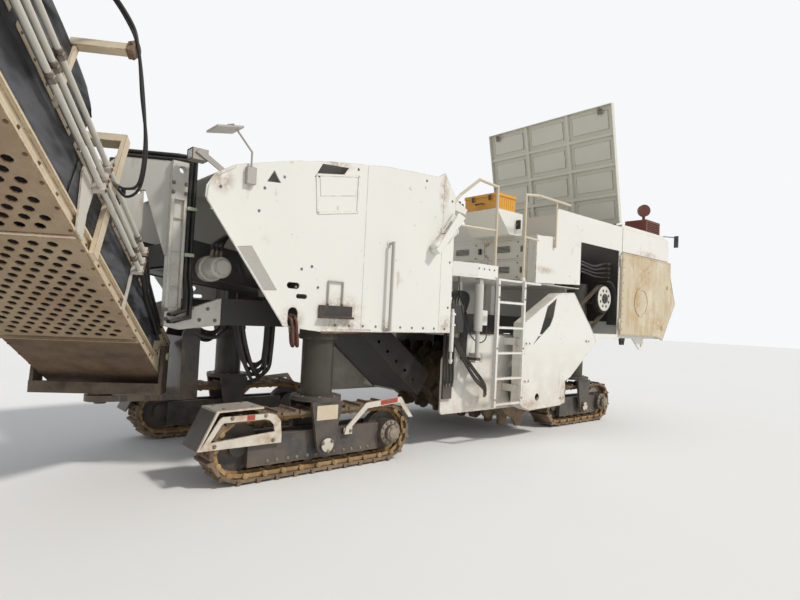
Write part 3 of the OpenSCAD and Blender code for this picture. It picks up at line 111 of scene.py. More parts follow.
class MillingSizes(bpy.types.PropertyGroup):
    """Sizes and colours that someone may want to change."""

    body_white: colour_setting("Body white", "Paint of the body and the platform", (0.80, 0.785, 0.73))
    frame_white: colour_setting("Frame white", "Paint of the tank, the bulkhead and the nose", (0.64, 0.62, 0.56))
    frame_dark: colour_setting("Frame dark", "Paint of the main frame and its gear", (0.045, 0.045, 0.045))
    bogie_dark: colour_setting("Bogie dark", "Paint of the four bogies", (0.04, 0.042, 0.045))
    rail_cream: colour_setting("Rail cream", "Paint of the handrails", (0.66, 0.57, 0.42))
    conveyor_cream: colour_setting("Conveyor cream", "Paint of the discharge conveyor's frame", (0.64, 0.54, 0.38))
    guard_tan: colour_setting("Guard tan", "Paint of the guards under the conveyor", (0.36, 0.27, 0.17))
    case_yellow: colour_setting("Case yellow", "Colour of the tool case", (0.74, 0.35, 0.03))
    canvas_thick: bpy.props.FloatProperty(
        name="Canvas", description="Thickness of the high canvas cover", subtype="DISTANCE", unit="LENGTH",
        default=0.003, min=0.001, max=0.006)
    side_canvas_thick: bpy.props.FloatProperty(
        name="Side canvas", description="Thickness of the two low canvas sides", subtype="DISTANCE", unit="LENGTH",
        default=0.0025, min=0.001, max=0.006)
    floor_shade: colour_setting("Floor", "Colour of the floor", (0.80, 0.80, 0.79))
    lens: bpy.props.FloatProperty(
        name="Lens", description="Focal length on a 36 mm sensor", default=24.975, min=10.0, max=100.0)
    sun_strength: bpy.props.FloatProperty(
        name="Sun", description="Strength of the main lamp", default=2.2, min=0.0, max=10.0)


# ---------------------------------------------------------------- shader helpers


def add(tree, kind, **values):
    node = tree.nodes.new(kind)
    for key, value in values.items():
        setattr(node, key, value)
    return node


def feed(tree, value, socket):
    """Links an output to a socket, or sets the socket's own number, colour or vector."""
    if isinstance(value, bpy.types.NodeSocket):
        tree.links.new(value, socket)
    elif socket.type == "RGBA":
        socket.default_value = (*value, 1.0)
    else:
        socket.default_value = value


def lay_out(tree):
    """Sets the nodes in columns, each to the left of the nodes that it feeds."""
    column, filled = {}, {}

    def column_of(node):
        if node.name not in column:
            fed = [link.to_node for link in tree.links if link.from_node == node]
            column[node.name] = 1 + max(map(column_of, fed), default=-1)
        return column[node.name]

    for node in tree.nodes:
        k = column_of(node)
        filled[k] = filled.get(k, 0) + 1
        node.location = (-220 * k, -240 * filled[k])


def group_with(name, settings, *masks):
    """A new shader node group that takes a vector and some numbers: its tree, inputs and outputs."""
    tree = bpy.data.node_groups.new(name, "ShaderNodeTree")
    tree.interface.new_socket(name="Vector", in_out="INPUT", socket_type="NodeSocketVector")
    for setting, default in settings.items():
        socket = tree.interface.new_socket(name=setting, in_out="INPUT", socket_type="NodeSocketFloat")
        socket.default_value = default
    for mask in masks:
        tree.interface.new_socket(name=mask, in_out="OUTPUT", socket_type="NodeSocketFloat")
    return tree, add(tree, "NodeGroupInput").outputs, add(tree, "NodeGroupOutput").inputs


def noise(tree, vector, scale, detail, rough):
    node = add(tree, "ShaderNodeTexNoise")
    for key, value in (("Vector", vector), ("Scale", scale), ("Detail", detail), ("Roughness", rough)):
        feed(tree, value, node.inputs[key])
    return node.outputs["Fac"]


def maths(tree, operation, *values, clamp=False):
    node = add(tree, "ShaderNodeMath", operation=operation, use_clamp=clamp)
    for socket, value in zip(node.inputs, values):
        feed(tree, value, socket)
    return node.outputs[0]


def vector_maths(tree, operation, *values):
    """The result of a vector sum, as a number for a dot product or a length."""
    node = add(tree, "ShaderNodeVectorMath", operation=operation)
    for socket, value in zip(node.inputs, values):
        feed(tree, value, socket)
    return node.outputs["Value" if operation in ("DOT_PRODUCT", "LENGTH") else "Vector"]


def ramp(tree, value, low, high):
    """0 at low, 1 at high, smooth between."""
    node = add(tree, "ShaderNodeMapRange", interpolation_type="SMOOTHSTEP")
    for key, number in (("Value", value), ("From Min", low), ("From Max", high)):
        feed(tree, number, node.inputs[key])
    return node.outputs["Result"]


def mixed(tree, factor, a, b):
    """Colour a where the factor is 0, colour b where it is 1."""
    node = add(tree, "ShaderNodeMix", data_type="RGBA")
    for socket, value in ((node.inputs[0], factor), (node.inputs[6], a), (node.inputs[7], b)):
        feed(tree, value, socket)
    return node.outputs[2]


def build_effects():
    """The node groups that the finishes share: grime, edge wear, streaks and dust."""
    # Blotches of dirt at two sizes
    tree, given, out = group_with("Grime", {"Scale": 3.0, "Cover": 0.5, "Softness": 0.15}, "Mask", "Fine")
    broad = noise(tree, given["Vector"], scale=given["Scale"], detail=6.0, rough=0.65)
    fine = noise(tree, given["Vector"], scale=maths(tree, "MULTIPLY", given["Scale"], 9.0), detail=4.0, rough=0.7)
    low = maths(tree, "SUBTRACT", 1.18, given["Cover"])
    high = maths(tree, "ADD", low, given["Softness"])
    feed(tree, ramp(tree, maths(tree, "MULTIPLY_ADD", fine, 0.35, broad), low, high), out["Mask"])
    feed(tree, fine, out["Fine"])
    lay_out(tree)

    # Bare or rusty edges, where the rounded normal leaves the face's own
    tree, given, out = group_with("Edge wear", {"Radius": 0.012, "Amount": 0.5}, "Mask")
    bevel = add(tree, "ShaderNodeBevel", samples=4)
    feed(tree, given["Radius"], bevel.inputs["Radius"])
    face = add(tree, "ShaderNodeNewGeometry").outputs["Normal"]
    turned = maths(tree, "SUBTRACT", 1.0, vector_maths(tree, "DOT_PRODUCT", bevel.outputs["Normal"], face))
    grain = noise(tree, given["Vector"], scale=14.0, detail=5.0, rough=0.7)
    patchy = maths(tree, "MULTIPLY", turned, ramp(tree, grain, 0.38, 0.62))
    strong = maths(tree, "MULTIPLY", patchy, given["Amount"])
    feed(tree, ramp(tree, strong, 0.01, 0.12), out["Mask"])
    lay_out(tree)

    # Streaks that run down
    tree, given, out = group_with("Streaks", {"Density": 9.0, "Cover": 0.4}, "Mask")
    squeezed = vector_maths(tree, "MULTIPLY", given["Vector"], (1.0, 1.0, 0.09))
    lines = noise(tree, squeezed, scale=given["Density"], detail=5.0, rough=0.6)
    broken = noise(tree, given["Vector"], scale=2.3, detail=4.0, rough=0.6)
    low = maths(tree, "SUBTRACT", 0.52, maths(tree, "MULTIPLY", given["Cover"], 0.4))
    high = maths(tree, "ADD", low, 0.1)
    feed(tree, ramp(tree, maths(tree, "MULTIPLY", lines, broken), low, high), out["Mask"])
    lay_out(tree)

    # Dust that lies on level faces and thickens towards the ground
    tree, given, out = group_with("Dust", {"Top": 1.2, "Amount": 0.6}, "Mask")
    facing, where = add(tree, "ShaderNodeSeparateXYZ"), add(tree, "ShaderNodeSeparateXYZ")
    feed(tree, add(tree, "ShaderNodeNewGeometry").outputs["Normal"], facing.inputs[0])
    feed(tree, given["Vector"], where.inputs[0])
    level = maths(tree, "MULTIPLY", ramp(tree, facing.outputs["Z"], 0.35, 0.9), 0.7)
    height = maths(tree, "DIVIDE", where.outputs["Z"], given["Top"])
    weight = maths(tree, "MAXIMUM", level, maths(tree, "SUBTRACT", 1.0, height, clamp=True))
    grain = noise(tree, given["Vector"], scale=5.0, detail=8.0, rough=0.7)
    dusty = maths(tree, "MULTIPLY", weight, ramp(tree, grain, 0.3, 0.62))
    feed(tree, maths(tree, "MULTIPLY", dusty, given["Amount"], clamp=True), out["Mask"])
    lay_out(tree)


def effect(tree, name, vector, **values):
    """One of the shared groups, placed in a material with its own values."""
    node = add(tree, "ShaderNodeGroup", node_tree=bpy.data.node_groups[name])
    feed(tree, vector, node.inputs["Vector"])
    for key, value in values.items():
        node.inputs[key.capitalize()].default_value = value
    return node.outputs


def material(name, rough, metal=0.0, coat=0.0, specular=0.5):
    """A new material with its surface shader, and the object's coordinates."""
    made = bpy.data.materials.new(name)
    made.use_nodes = True
    tree = made.node_tree
    shader = tree.nodes["Principled BSDF"].inputs
    for key, value in (("Roughness", rough), ("Metallic", metal), ("Coat Weight", coat),
                       ("Specular IOR Level", specular)):
        shader[key].default_value = value
    return made, tree, shader, add(tree, "ShaderNodeTexCoord").outputs["Object"]


def bump(tree, shader, height, strength, distance):
    node = add(tree, "ShaderNodeBump")
    for key, value in (("Height", height), ("Strength", strength), ("Distance", distance)):
        feed(tree, value, node.inputs[key])
    feed(tree, node.outputs["Normal"], shader["Normal"])


def along_line(tree, where, direction, origin=DATUM):
    """How far a surface point lies from an origin along a direction."""
    return maths(tree, "SUBTRACT", vector_maths(tree, "DOT_PRODUCT", where, direction), direction.dot(origin))


# ---------------------------------------------------------------- zones in a second colour

GUARD_CREAM = (0.66, 0.62, 0.53)
RUSTY_TAIL = (0.075, 0.042, 0.02)
ZONE_SOFT = 0.004


def box_zone(low, high, colour):
    """A zone inside a level box given from the machine's datum."""
    def zone(tree, where):
        mask = 1.0
        for direction, start, end in zip((X, Y, Z), low, high):
            d = along_line(tree, where, direction)
            above = ramp(tree, d, start, start + ZONE_SOFT)
            below = ramp(tree, d, end + ZONE_SOFT, end)
            mask = maths(tree, "MULTIPLY", maths(tree, "MULTIPLY", above, below), mask)
        return mask, colour
    return zone


def tail_zone(tree, where):
    """The conveyor's tail plates, rusty where the paint has worn off."""
    return ramp(tree, along_line(tree, where, ALONG, SWING_AXIS), 0.70, 0.68), RUSTY_TAIL


def hood_zone(tree, where):
    """The hood's outer skin, in the body's paint."""
    skin = ramp(tree, along_line(tree, where, HOOD_OUT, HOOD_HINGE), 0.0275, 0.029)
    return skin, tuple(bpy.context.scene.milling_sizes.body_white)


def guard_zone(tree, where):
    """The pale guards outside the front bogies' dark frames, and dust on the top edges."""
    leg_x, leg_y = CORNERS["fl"][:2]
    from_middle = maths(tree, "ABSOLUTE", along_line(tree, where, Y))
    aside = maths(tree, "ABSOLUTE", maths(tree, "SUBTRACT", from_middle, leg_y))
    forward = along_line(tree, where, X, DATUM + X * leg_x)
    height = along_line(tree, where, Z)
    ahead_or_high = maths(tree, "MAXIMUM", ramp(tree, forward, -0.55, -0.545), ramp(tree, height, 0.43, 0.434))
    plate = maths(tree, "MULTIPLY", ramp(tree, aside, 0.158, 0.161), ahead_or_high)
    top = maths(tree, "MULTIPLY", ramp(tree, height, 0.622, 0.630), 0.5)
    return maths(tree, "MAXIMUM", plate, top), GUARD_CREAM


def stain_mask(tree, where, stains):
    """Uneven stains, each with its centre from the datum and its reach in each direction."""
    mask = 0.0
    for centre, reach in stains:
        shift = vector_maths(tree, "SUBTRACT", where, at(*centre))
        far = vector_maths(tree, "LENGTH", vector_maths(tree, "DIVIDE", shift, reach))
        mask = maths(tree, "MAXIMUM", ramp(tree, far, 1.0, 0.2), mask)
    grain = noise(tree, where, scale=16.0, detail=6.0, rough=0.72)
    return maths(tree, "MULTIPLY", mask, ramp(tree, grain, 0.34, 0.62))


BODY_STAINS = [((2.22, 1.22, 1.50), (0.34, 0.1, 0.20)), ((2.22, 1.22, 1.36), (0.38, 0.1, 0.09)),
               ((0.93, 1.22, 2.86), (0.10, 0.1, 0.32)), ((2.73, 1.22, 1.38), (0.16, 0.1, 0.20)),
               ((1.67, 1.22, 1.34), (0.10, 0.1, 0.16)), ((0.83, 1.22, 1.40), (0.14, 0.1, 0.14)),
               ((3.43, 1.22, 2.50), (0.14, 0.1, 0.14)), ((2.33, 1.22, 2.86), (0.22, 0.1, 0.07)),
               ((-0.62, 1.31, 0.45), (0.34, 0.1, 0.09)), ((-1.38, 1.31, 0.55), (0.09, 0.1, 0.20)),
               ((-2.02, 1.25, 2.30), (0.12, 0.1, 0.40)), ((-0.95, 1.25, 2.18), (0.40, 0.1, 0.08)),
               ((-3.9, 1.25, 2.70), (0.5, 0.1, 0.08)), ((2.0, -1.22, 1.40), (0.40, 0.1, 0.16)),
               ((0.9, -1.22, 2.80), (0.12, 0.1, 0.30)), ((-4.6, 0.0, 2.2), (0.3, 1.3, 0.25))]
# Given from the front legs' axes
GUARD_STAINS = [((CORNERS["fl"][0] + x, side * 1.1705, z), reach) for side in (-1, 1) for x, z, reach in
                ((0.47, 0.50, (0.10, 0.05, 0.17)), (0.58, 0.37, (0.16, 0.05, 0.07)),
                 (1.10, 0.36, (0.10, 0.05, 0.08)), (0.80, 0.60, (0.16, 0.4, 0.09)),
                 (-0.98, 0.55, (0.12, 0.05, 0.12)))]
DOOR_STAINS = [((-3.74, 1.25, 2.36), (0.36, 0.1, 0.34)), ((-3.50, 1.25, 1.95), (0.20, 0.1, 0.50)),
               ((-4.3, 1.25, 1.55), (0.34, 0.1, 0.22)), ((-3.64, -1.25, 2.2), (0.40, 0.1, 0.40))]


# ---------------------------------------------------------------- finishes

RUST = (0.23, 0.10, 0.045)
SAND = (0.42, 0.31, 0.20)


def shaded(colour, factor):
    return tuple(min(1.0, c * factor) for c in colour)


def worn_paint(name, colour, rough=0.42, rust=0.4, streaks=0.35, grime=0.35, dust=0.5, dust_top=1.3, edge=0.5,
               streak_colour=(0.36, 0.27, 0.16), grime_colour=(0.30, 0.25, 0.19), coat=0.15, zone=None, stains=(),
               stain_colour=(0.30, 0.17, 0.075)):
    """Paint with grime, streaks, rusty edges and road dust."""
    made, tree, shader, where = material(name, rough, coat=coat)
    dirt = effect(tree, "Grime", where, scale=1.6, cover=grime, softness=0.28)["Mask"]
    chips = effect(tree, "Grime", where, scale=11.0, cover=rust * 0.55, softness=0.05)["Mask"]
    runs = effect(tree, "Streaks", where, density=9.0, cover=streaks)["Mask"]
    edges = effect(tree, "Edge wear", where, radius=0.01, amount=edge)["Mask"]
    dusty = effect(tree, "Dust", where, top=dust_top, amount=dust)["Mask"]
    shade = noise(tree, where, scale=0.9, detail=3.0, rough=0.5)
    tone = mixed(tree, shade, shaded(colour, 0.93), shaded(colour, 1.04))
    if zone:
        mask, second = zone(tree, where)
        tone = mixed(tree, mask, tone, second)
    for mask, strength, layer in ((dirt, 0.38, grime_colour), (runs, 0.42, streak_colour), (chips, 0.75, RUST)):
        tone = mixed(tree, maths(tree, "MULTIPLY", mask, strength), tone, layer)
    if stains:
        tone = mixed(tree, maths(tree, "MULTIPLY", stain_mask(tree, where, stains), 0.62), tone, stain_colour)
    tone = mixed(tree, edges, tone, (RUST[0] * 1.1, RUST[1] * 1.1, RUST[2]))
    feed(tree, mixed(tree, dusty, tone, SAND), shader["Base Color"])
    worn = maths(tree, "MAXIMUM", edges, maths(tree, "MAXIMUM", dirt, dusty))
    feed(tree, maths(tree, "MULTIPLY_ADD", worn, 0.35, rough), shader["Roughness"])
    bump(tree, shader, noise(tree, where, scale=60.0, detail=4.0, rough=0.6), strength=0.10, distance=0.004)
    lay_out(tree)
    return made


def iron(name, dark, light, metal, rough, dust, grain):
    """Bare iron, rubber or glass between two tones, pitted, under dust."""
    made, tree, shader, where = material(name, rough, metal)
    blotch = effect(tree, "Grime", where, scale=7.0, cover=0.6, softness=0.35)
    dusty = effect(tree, "Dust", where, top=1.4, amount=dust)["Mask"]
    tone = mixed(tree, blotch["Mask"], dark, light)
    tone = mixed(tree, maths(tree, "MULTIPLY", blotch["Fine"], 0.5), tone, shaded(dark, 0.55))
    feed(tree, mixed(tree, dusty, tone, SAND), shader["Base Color"])
    bump(tree, shader, blotch["Fine"], strength=grain, distance=0.006)
    lay_out(tree)
    return made


# The canvas's colour in its folds' troughs, a painted shade, and on their crests, a painted highlight; and its dust
CANVAS_FOLD_SHADE, CANVAS_FOLD_HIGHLIGHT, CANVAS_DUST = (0.009, 0.0095, 0.011), (0.075, 0.078, 0.086), (0.14, 0.13, 0.115)


def folded_canvas(name):
    """Dark coated cloth with long soft folds and dusty creases; its colour darkens in the folds' troughs as painted
    shade and lightens on their crests as painted highlight.
    """
    made, tree, shader, where = material(name, 0.55, specular=0.4)
    along, over, side = (along_line(tree, where, d, SWING_AXIS) for d in (ALONG, UP, ACROSS))
    slanted = add(tree, "ShaderNodeCombineXYZ")
    feed(tree, maths(tree, "MULTIPLY", along, 0.42), slanted.inputs[0])
    feed(tree, maths(tree, "MULTIPLY_ADD", along, 0.35, over), slanted.inputs[1])
    feed(tree, side, slanted.inputs[2])
    folds = noise(tree, slanted.outputs[0], scale=5.5, detail=2.0, rough=0.45)
    weave = noise(tree, where, scale=420.0, detail=2.0, rough=0.5)
    dusty = effect(tree, "Grime", where, scale=2.6, cover=0.5, softness=0.4)["Mask"]
    # Painted shade where the folds sink and painted highlight where they rise, following the same folds as the bump
    tone = mixed(tree, ramp(tree, folds, 0.42, 0.60), CANVAS_FOLD_SHADE, CANVAS_FOLD_HIGHLIGHT)
    feed(tree, mixed(tree, maths(tree, "MULTIPLY", dusty, 0.3), tone, CANVAS_DUST), shader["Base Color"])
    bump(tree, shader, maths(tree, "MULTIPLY_ADD", weave, 0.004, folds), strength=1.0, distance=0.12)
    lay_out(tree)
    return made


# Bare finishes: the dark tone, the light tone, metal, roughness, dust and strength of the pits
IRONS = {
    "rusty iron": ((0.11, 0.075, 0.05), (0.27, 0.19, 0.125), 0.15, 0.85, 0.5, 0.35),
    "chain rust": ((0.34, 0.20, 0.08), (0.62, 0.43, 0.21), 0.1, 0.8, 0.2, 0.35),
    "dark iron": ((0.05, 0.042, 0.035), (0.13, 0.10, 0.075), 0.3, 0.7, 0.5, 0.35),
    "engine iron": ((0.035, 0.033, 0.03), (0.12, 0.11, 0.10), 0.2, 0.6, 0.2, 0.35),
    "rubber": ((0.012, 0.012, 0.012), (0.035, 0.033, 0.03), 0.0, 0.8, 0.3, 0.15),
    "bolt steel": ((0.20, 0.17, 0.13), (0.40, 0.36, 0.31), 0.5, 0.5, 0.3, 0.35),
    "rusty bolt": ((0.15, 0.08, 0.045), (0.33, 0.24, 0.16), 0.2, 0.75, 0.3, 0.35),
    "hub steel": ((0.28, 0.24, 0.19), (0.50, 0.46, 0.40), 0.4, 0.5, 0.4, 0.35),
    "reflector": ((0.42, 0.02, 0.012), (0.55, 0.04, 0.02), 0.0, 0.3, 0.25, 0.02),
    "lamp glass": ((0.55, 0.58, 0.58), (0.75, 0.78, 0.78), 0.3, 0.15, 0.2, 0.02),
    "hose rubber": ((0.014, 0.014, 0.014), (0.05, 0.045, 0.04), 0.0, 0.45, 0.25, 0.06),
    "red hose": ((0.11, 0.035, 0.022), (0.20, 0.08, 0.05), 0.0, 0.5, 0.25, 0.06),
    "chrome": ((0.62, 0.62, 0.62), (0.70, 0.70, 0.70), 1.0, 0.12, 0.1, 0.02),
}

OILY_GRIME = (0.10, 0.085, 0.065)
RUSTY_GRIME = (0.16, 0.10, 0.06)


def paints(sizes):
    """The painted finishes by name, with what worn_paint takes for each."""
    white, frame_white, dark = tuple(sizes.body_white), tuple(sizes.frame_white), tuple(sizes.frame_dark)
    # The inner side of the walls round the engine, painted dark brown-grey as painted shade inside the bay
    bay = box_zone((-3.03, -1.19, 1.2), (-1.93, 1.19, 3.0), (0.055, 0.047, 0.04))
    # The black lower arm of the nose frame
    low_arm = box_zone((2.6, -2.0, 0.2), (5.0, 2.0, 1.27), (0.035, 0.032, 0.028))
    # The pale lift cylinder beside the housing
    cylinder = box_zone((0.262, 1.12, 1.045), (0.378, 1.30, 1.95), (0.56, 0.55, 0.50))
    # The dark mirror at the rear corner
    mirror = box_zone((-5.0, 1.15, 2.90), (-4.62, 1.4, 3.2), (0.07, 0.07, 0.072))
    # The black box under the side plate's hoop
    step = box_zone((1.74, -2.0, 1.2), (2.80, 2.0, 1.56), (0.03, 0.026, 0.022))
    return {
        "body white": dict(colour=white, rust=0.58, streaks=0.42, grime=0.42, zone=bay, stains=BODY_STAINS),
        "housing white": dict(colour=white, rust=0.42, streaks=0.45, grime=0.38, edge=0.7, dust=0.8),
        "frame white": dict(colour=frame_white, rust=0.36, streaks=0.4, grime=0.4, edge=0.6, zone=bay),
        "pulley white": dict(colour=(0.70, 0.67, 0.60), rust=0.5, streaks=0.3, grime=0.5, edge=0.6),
        "nose white": dict(colour=frame_white, rust=0.5, streaks=0.5, grime=0.45, edge=0.6, zone=low_arm),
        "tube white": dict(colour=(0.60, 0.57, 0.50), streaks=0.3, grime=0.5, edge=0.6),
        "bogie paint": dict(colour=tuple(sizes.bogie_dark), rough=0.5, rust=0.62, streaks=0.3, grime=0.5, dust=0.22,
                            edge=0.8, coat=0.0, grime_colour=RUSTY_GRIME, zone=guard_zone, stains=GUARD_STAINS,
                            stain_colour=(0.36, 0.16, 0.05)),
        "gear paint": dict(colour=dark, rough=0.5, rust=0.5, streaks=0.2, grime=0.5, dust=0.25, edge=0.7, coat=0.0,
                           grime_colour=OILY_GRIME, zone=cylinder),
        "rail cream": dict(colour=tuple(sizes.rail_cream), rust=0.62, streaks=0.3, grime=0.5, edge=0.9),
        "conveyor cream": dict(colour=tuple(sizes.conveyor_cream), rust=0.62, streaks=0.3, grime=0.6, edge=0.9),
        "guard tan": dict(colour=tuple(sizes.guard_tan), rough=0.6, rust=0.6, streaks=0.2, grime=0.7, edge=0.6,
                          dust=0.25, dust_top=4.0, grime_colour=RUSTY_GRIME, coat=0.0, zone=tail_zone),
        "door cream": dict(colour=(0.72, 0.66, 0.52), rust=0.3, streaks=0.7, grime=0.75,
                           streak_colour=(0.46, 0.29, 0.10), grime_colour=(0.40, 0.28, 0.11), stains=DOOR_STAINS,
                           stain_colour=(0.42, 0.22, 0.06)),
        "hood inside": dict(colour=(0.68, 0.665, 0.57), rust=0.3, streaks=0.3, edge=0.3, zone=hood_zone),
        "dark paint": dict(colour=dark, rough=0.5, rust=0.5, streaks=0.1, grime=0.5, dust=0.22, edge=0.7, coat=0.0,
                           grime_colour=OILY_GRIME),
        "leg olive": dict(colour=(0.038, 0.035, 0.024), rough=0.4, rust=0.35, streaks=0.7, grime=0.6, dust=0.12,
                          edge=0.4, streak_colour=(0.03, 0.025, 0.02), grime_colour=(0.05, 0.042, 0.03), coat=0.1),
        "case yellow": dict(colour=tuple(sizes.case_yellow), rough=0.45, rust=0.2, streaks=0.2, grime=0.4, dust=0.2),
        "maroon": dict(colour=(0.13, 0.03, 0.02), rough=0.6, rust=0.6, streaks=0.3, grime=0.4, edge=0.8, zone=mirror),
        "fitting grey": dict(colour=(0.44, 0.42, 0.38), rust=0.5, streaks=0.3, grime=0.5, edge=0.7, zone=step),
        "clamp green": dict(colour=(0.42, 0.50, 0.36), rust=0.2, streaks=0.2, grime=0.4, edge=0.4),
    }


NODES_IN = {
    "body white": "front_body belt_guard engine_walls rear_body platform ladders consoles hydraulic_tank",
    "housing white": "cutter_housing",
    "frame white": "front_tank pump_drive bay_panels bulkhead",
    "nose white": "nose_frame",
    "tube white": "conveyor_tubes",
    "bogie paint": "bogie_fl bogie_fr bogie_rl bogie_rr",
    "gear paint": "side_gear",
    "rail cream": "handrails",
    "conveyor cream": "conveyor_frame lift_arch",
    "guard tan": "conveyor_guards",
    "door cream": "rear_door_left rear_door_right",
    "hood inside": "hood",
    "dark paint": "main_frame primary_conveyor lift_barrel cross_members yoke_fl yoke_fr yoke_rl yoke_rr",
    "leg olive": "leg_fl leg_fr leg_rl leg_rr leg_sleeves",
    "case yellow": "tool_case",
    "maroon": "rear_fittings",
    "fitting grey": "front_fittings",
    "rusty iron": "drum track_fl track_fr track_rl track_rr",
    "dark iron": "moldboard belt_drive swing_yoke cooler",
    "engine iron": "engine",
    "rubber": "primary_belt conveyor_belt",
    "hose rubber": "nose_hoses conveyor_hoses",
    "canvas": "conveyor_cover",
    "chrome": "lift_rod",
}
FINISHES = {}


class MILLING_OT_stage(bpy.types.Operator):
    """Sets up the camera, the floor, the pale background and the lamps"""

    bl_idname = "milling.stage"
    bl_label = "Stage and camera"

    def execute(self, context):
        sizes = context.scene.milling_sizes
        scene = context.scene
        scene.view_settings.view_transform = "Standard"
        camera = bpy.data.objects.new("camera", bpy.data.cameras.new("camera"))
        scene.collection.objects.link(camera)
        camera.data.sensor_width = 36.0
        camera.data.lens = sizes.lens
        camera.data.clip_end = 200.0
        # The camera's place and angles, as solved from the body's straight lines
        yaw, pitch, roll = (math.radians(a) for a in (-130.842, 1.865, -2.733))
        forward = Vector((math.cos(yaw) * math.cos(pitch), math.sin(yaw) * math.cos(pitch), math.sin(pitch)))
        right = forward.cross(Z).normalized()
        down = forward.cross(right)
        turned_right = right * math.cos(roll) + down * math.sin(roll)
        turned_down = down * math.cos(roll) - right * math.sin(roll)
        pose = Matrix((turned_right, -turned_down, -forward)).transposed().to_4x4()
        pose.translation = at(5.2, 5.5, 1.46)
        camera.matrix_world = pose
        scene.camera = camera

        floor = bpy.data.objects.new("floor", bpy.data.meshes.new("floor"))
        mesh = bmesh.new()
        bmesh.ops.create_grid(mesh, x_segments=2, y_segments=2, size=80.0)
        mesh.to_mesh(floor.data)
        mesh.free()
        scene.collection.objects.link(floor)
        made, tree, shader, where = material("floor", 0.9)
        pale = tuple(sizes.floor_shade)
        clouds = noise(tree, where, scale=0.6, detail=4.0, rough=0.6)
        feed(tree, mixed(tree, clouds, shaded(pale, 0.97), pale), shader["Base Color"])
        lay_out(tree)
        floor.data.materials.append(made)

        # Soft light from all round, and a paler background where the camera sees it
        world = bpy.data.worlds.new("studio")
        scene.world = world
        world.use_nodes = True
        tree = world.node_tree
        tree.nodes.clear()
        seen = add(tree, "ShaderNodeLightPath").outputs
        plain_view = maths(tree, "MAXIMUM", seen["Is Glossy Ray"], seen["Is Transmission Ray"])
        either = add(tree, "ShaderNodeMixShader")
        feed(tree, maths(tree, "MAXIMUM", seen["Is Camera Ray"], plain_view), either.inputs[0])
        for slot, colour, strength in ((1, (0.93, 0.96, 1.0), 0.55), (2, (0.93, 0.94, 0.95), 1.0)):
            light = add(tree, "ShaderNodeBackground")
            feed(tree, colour, light.inputs["Color"])
            feed(tree, strength, light.inputs["Strength"])
            tree.links.new(light.outputs[0], either.inputs[slot])
        tree.links.new(either.outputs[0], add(tree, "ShaderNodeOutputWorld").inputs["Surface"])
        lay_out(tree)

        sun = bpy.data.objects.new("sun", bpy.data.lights.new("sun", "SUN"))
        sun.data.energy = sizes.sun_strength
        sun.data.angle = math.radians(6.0)
        sun.data.color = (1.0, 0.96, 0.9)
        sun.rotation_euler = Vector((0.42, -0.75, -0.9)).to_track_quat("-Z", "Y").to_euler()
        scene.collection.objects.link(sun)
        return {"FINISHED"}


class MILLING_OT_finishes(bpy.types.Operator):
    """Builds the finishes and gives each solid its own"""

    bl_idname = "milling.finishes"
    bl_label = "Finishes"

    def execute(self, context):
        build_effects()
        for name, values in paints(context.scene.milling_sizes).items():
            FINISHES[name] = worn_paint(name, **values)
        for name, values in IRONS.items():
            FINISHES[name] = iron(name, *values)
        FINISHES["canvas"] = folded_canvas("canvas")
        finish_of = {node: finish for finish, nodes in NODES_IN.items() for node in nodes.split()}
        for name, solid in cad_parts.items():
            solid.data.materials.clear()
            solid.data.materials.append(FINISHES[finish_of[name]])
        return {"FINISHED"}


# ---------------------------------------------------------------- mesh helpers


def new_piece(name, body, finish, mesh, smooth=False):
    """A piece from a finished bmesh, in its finish, riding on a body."""
    data = bpy.data.meshes.new(name)
    bmesh.ops.recalc_face_normals(mesh, faces=mesh.faces)
    mesh.to_mesh(data)
    mesh.free()
    for face in data.polygons:
        face.use_smooth = smooth
    piece = bpy.data.objects.new(name, data)
    bpy.context.scene.collection.objects.link(piece)
    data.materials.append(FINISHES[finish])
    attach(piece, body)
    return piece


def meshes(count):
    return [bmesh.new() for _ in range(count)]


def pairs(points):
    return zip(points, points[1:])


def circle(count, radius, turn=0.0):
    """Points evenly round a circle, as two coordinates each."""
    angles = (2 * math.pi * i / count + turn for i in range(count))
    return [(radius * math.cos(a), radius * math.sin(a)) for a in angles]


def join_rings(mesh, rings):
    """Faces between rings of vertices, and a cap at each end."""
    for low, high in pairs(rings):
        n = len(low)
        for i in range(n):
            mesh.faces.new((low[i], low[(i + 1) % n], high[(i + 1) % n], high[i]))
    mesh.faces.new(rings[0][::-1])
    mesh.faces.new(rings[-1])


def lathe(mesh, start, direction, profile, sides):
    """A turned shape: profile holds pairs of distance along the direction and radius."""
    direction = direction.normalized()
    side = direction.orthogonal().normalized()
    up = direction.cross(side)
    join_rings(mesh, [[mesh.verts.new(start + direction * along + side * c + up * s)
                       for c, s in circle(sides, radius)] for along, radius in profile])


def hex_bolt(mesh, place, normal, size):
    """A washer and a hexagon head with a chamfer."""
    lathe(mesh, place, normal, [(0, size * 0.72), (size * 0.12, size * 0.72), (size * 0.13, size * 0.5)], 12)
    lathe(mesh, place, normal, [(size * 0.1, size * 0.5), (size * 0.42, size * 0.5), (size * 0.48, size * 0.42)], 6)


def bolt_set(name, body, finish, places, size):
    """Many bolts in one piece: places holds pairs of point and outward direction."""
    mesh = bmesh.new()
    for place, normal in places:
        hex_bolt(mesh, place, normal, size)
    return new_piece(name, body, finish, mesh)


def block(mesh, corner, along, across, up, soft=0.003):
    """A box with softened edges from a corner and its three edges."""
    made = bmesh.ops.create_cube(mesh, size=1.0)["verts"]
    for vert in made:
        x, y, z = vert.co
        vert.co = corner + along * (x + 0.5) + across * (y + 0.5) + up * (z + 0.5)
    edges = list({edge for vert in made for edge in vert.link_edges})
    bmesh.ops.bevel(mesh, geom=edges, offset=soft, segments=2, affect="EDGES", profile=0.6)


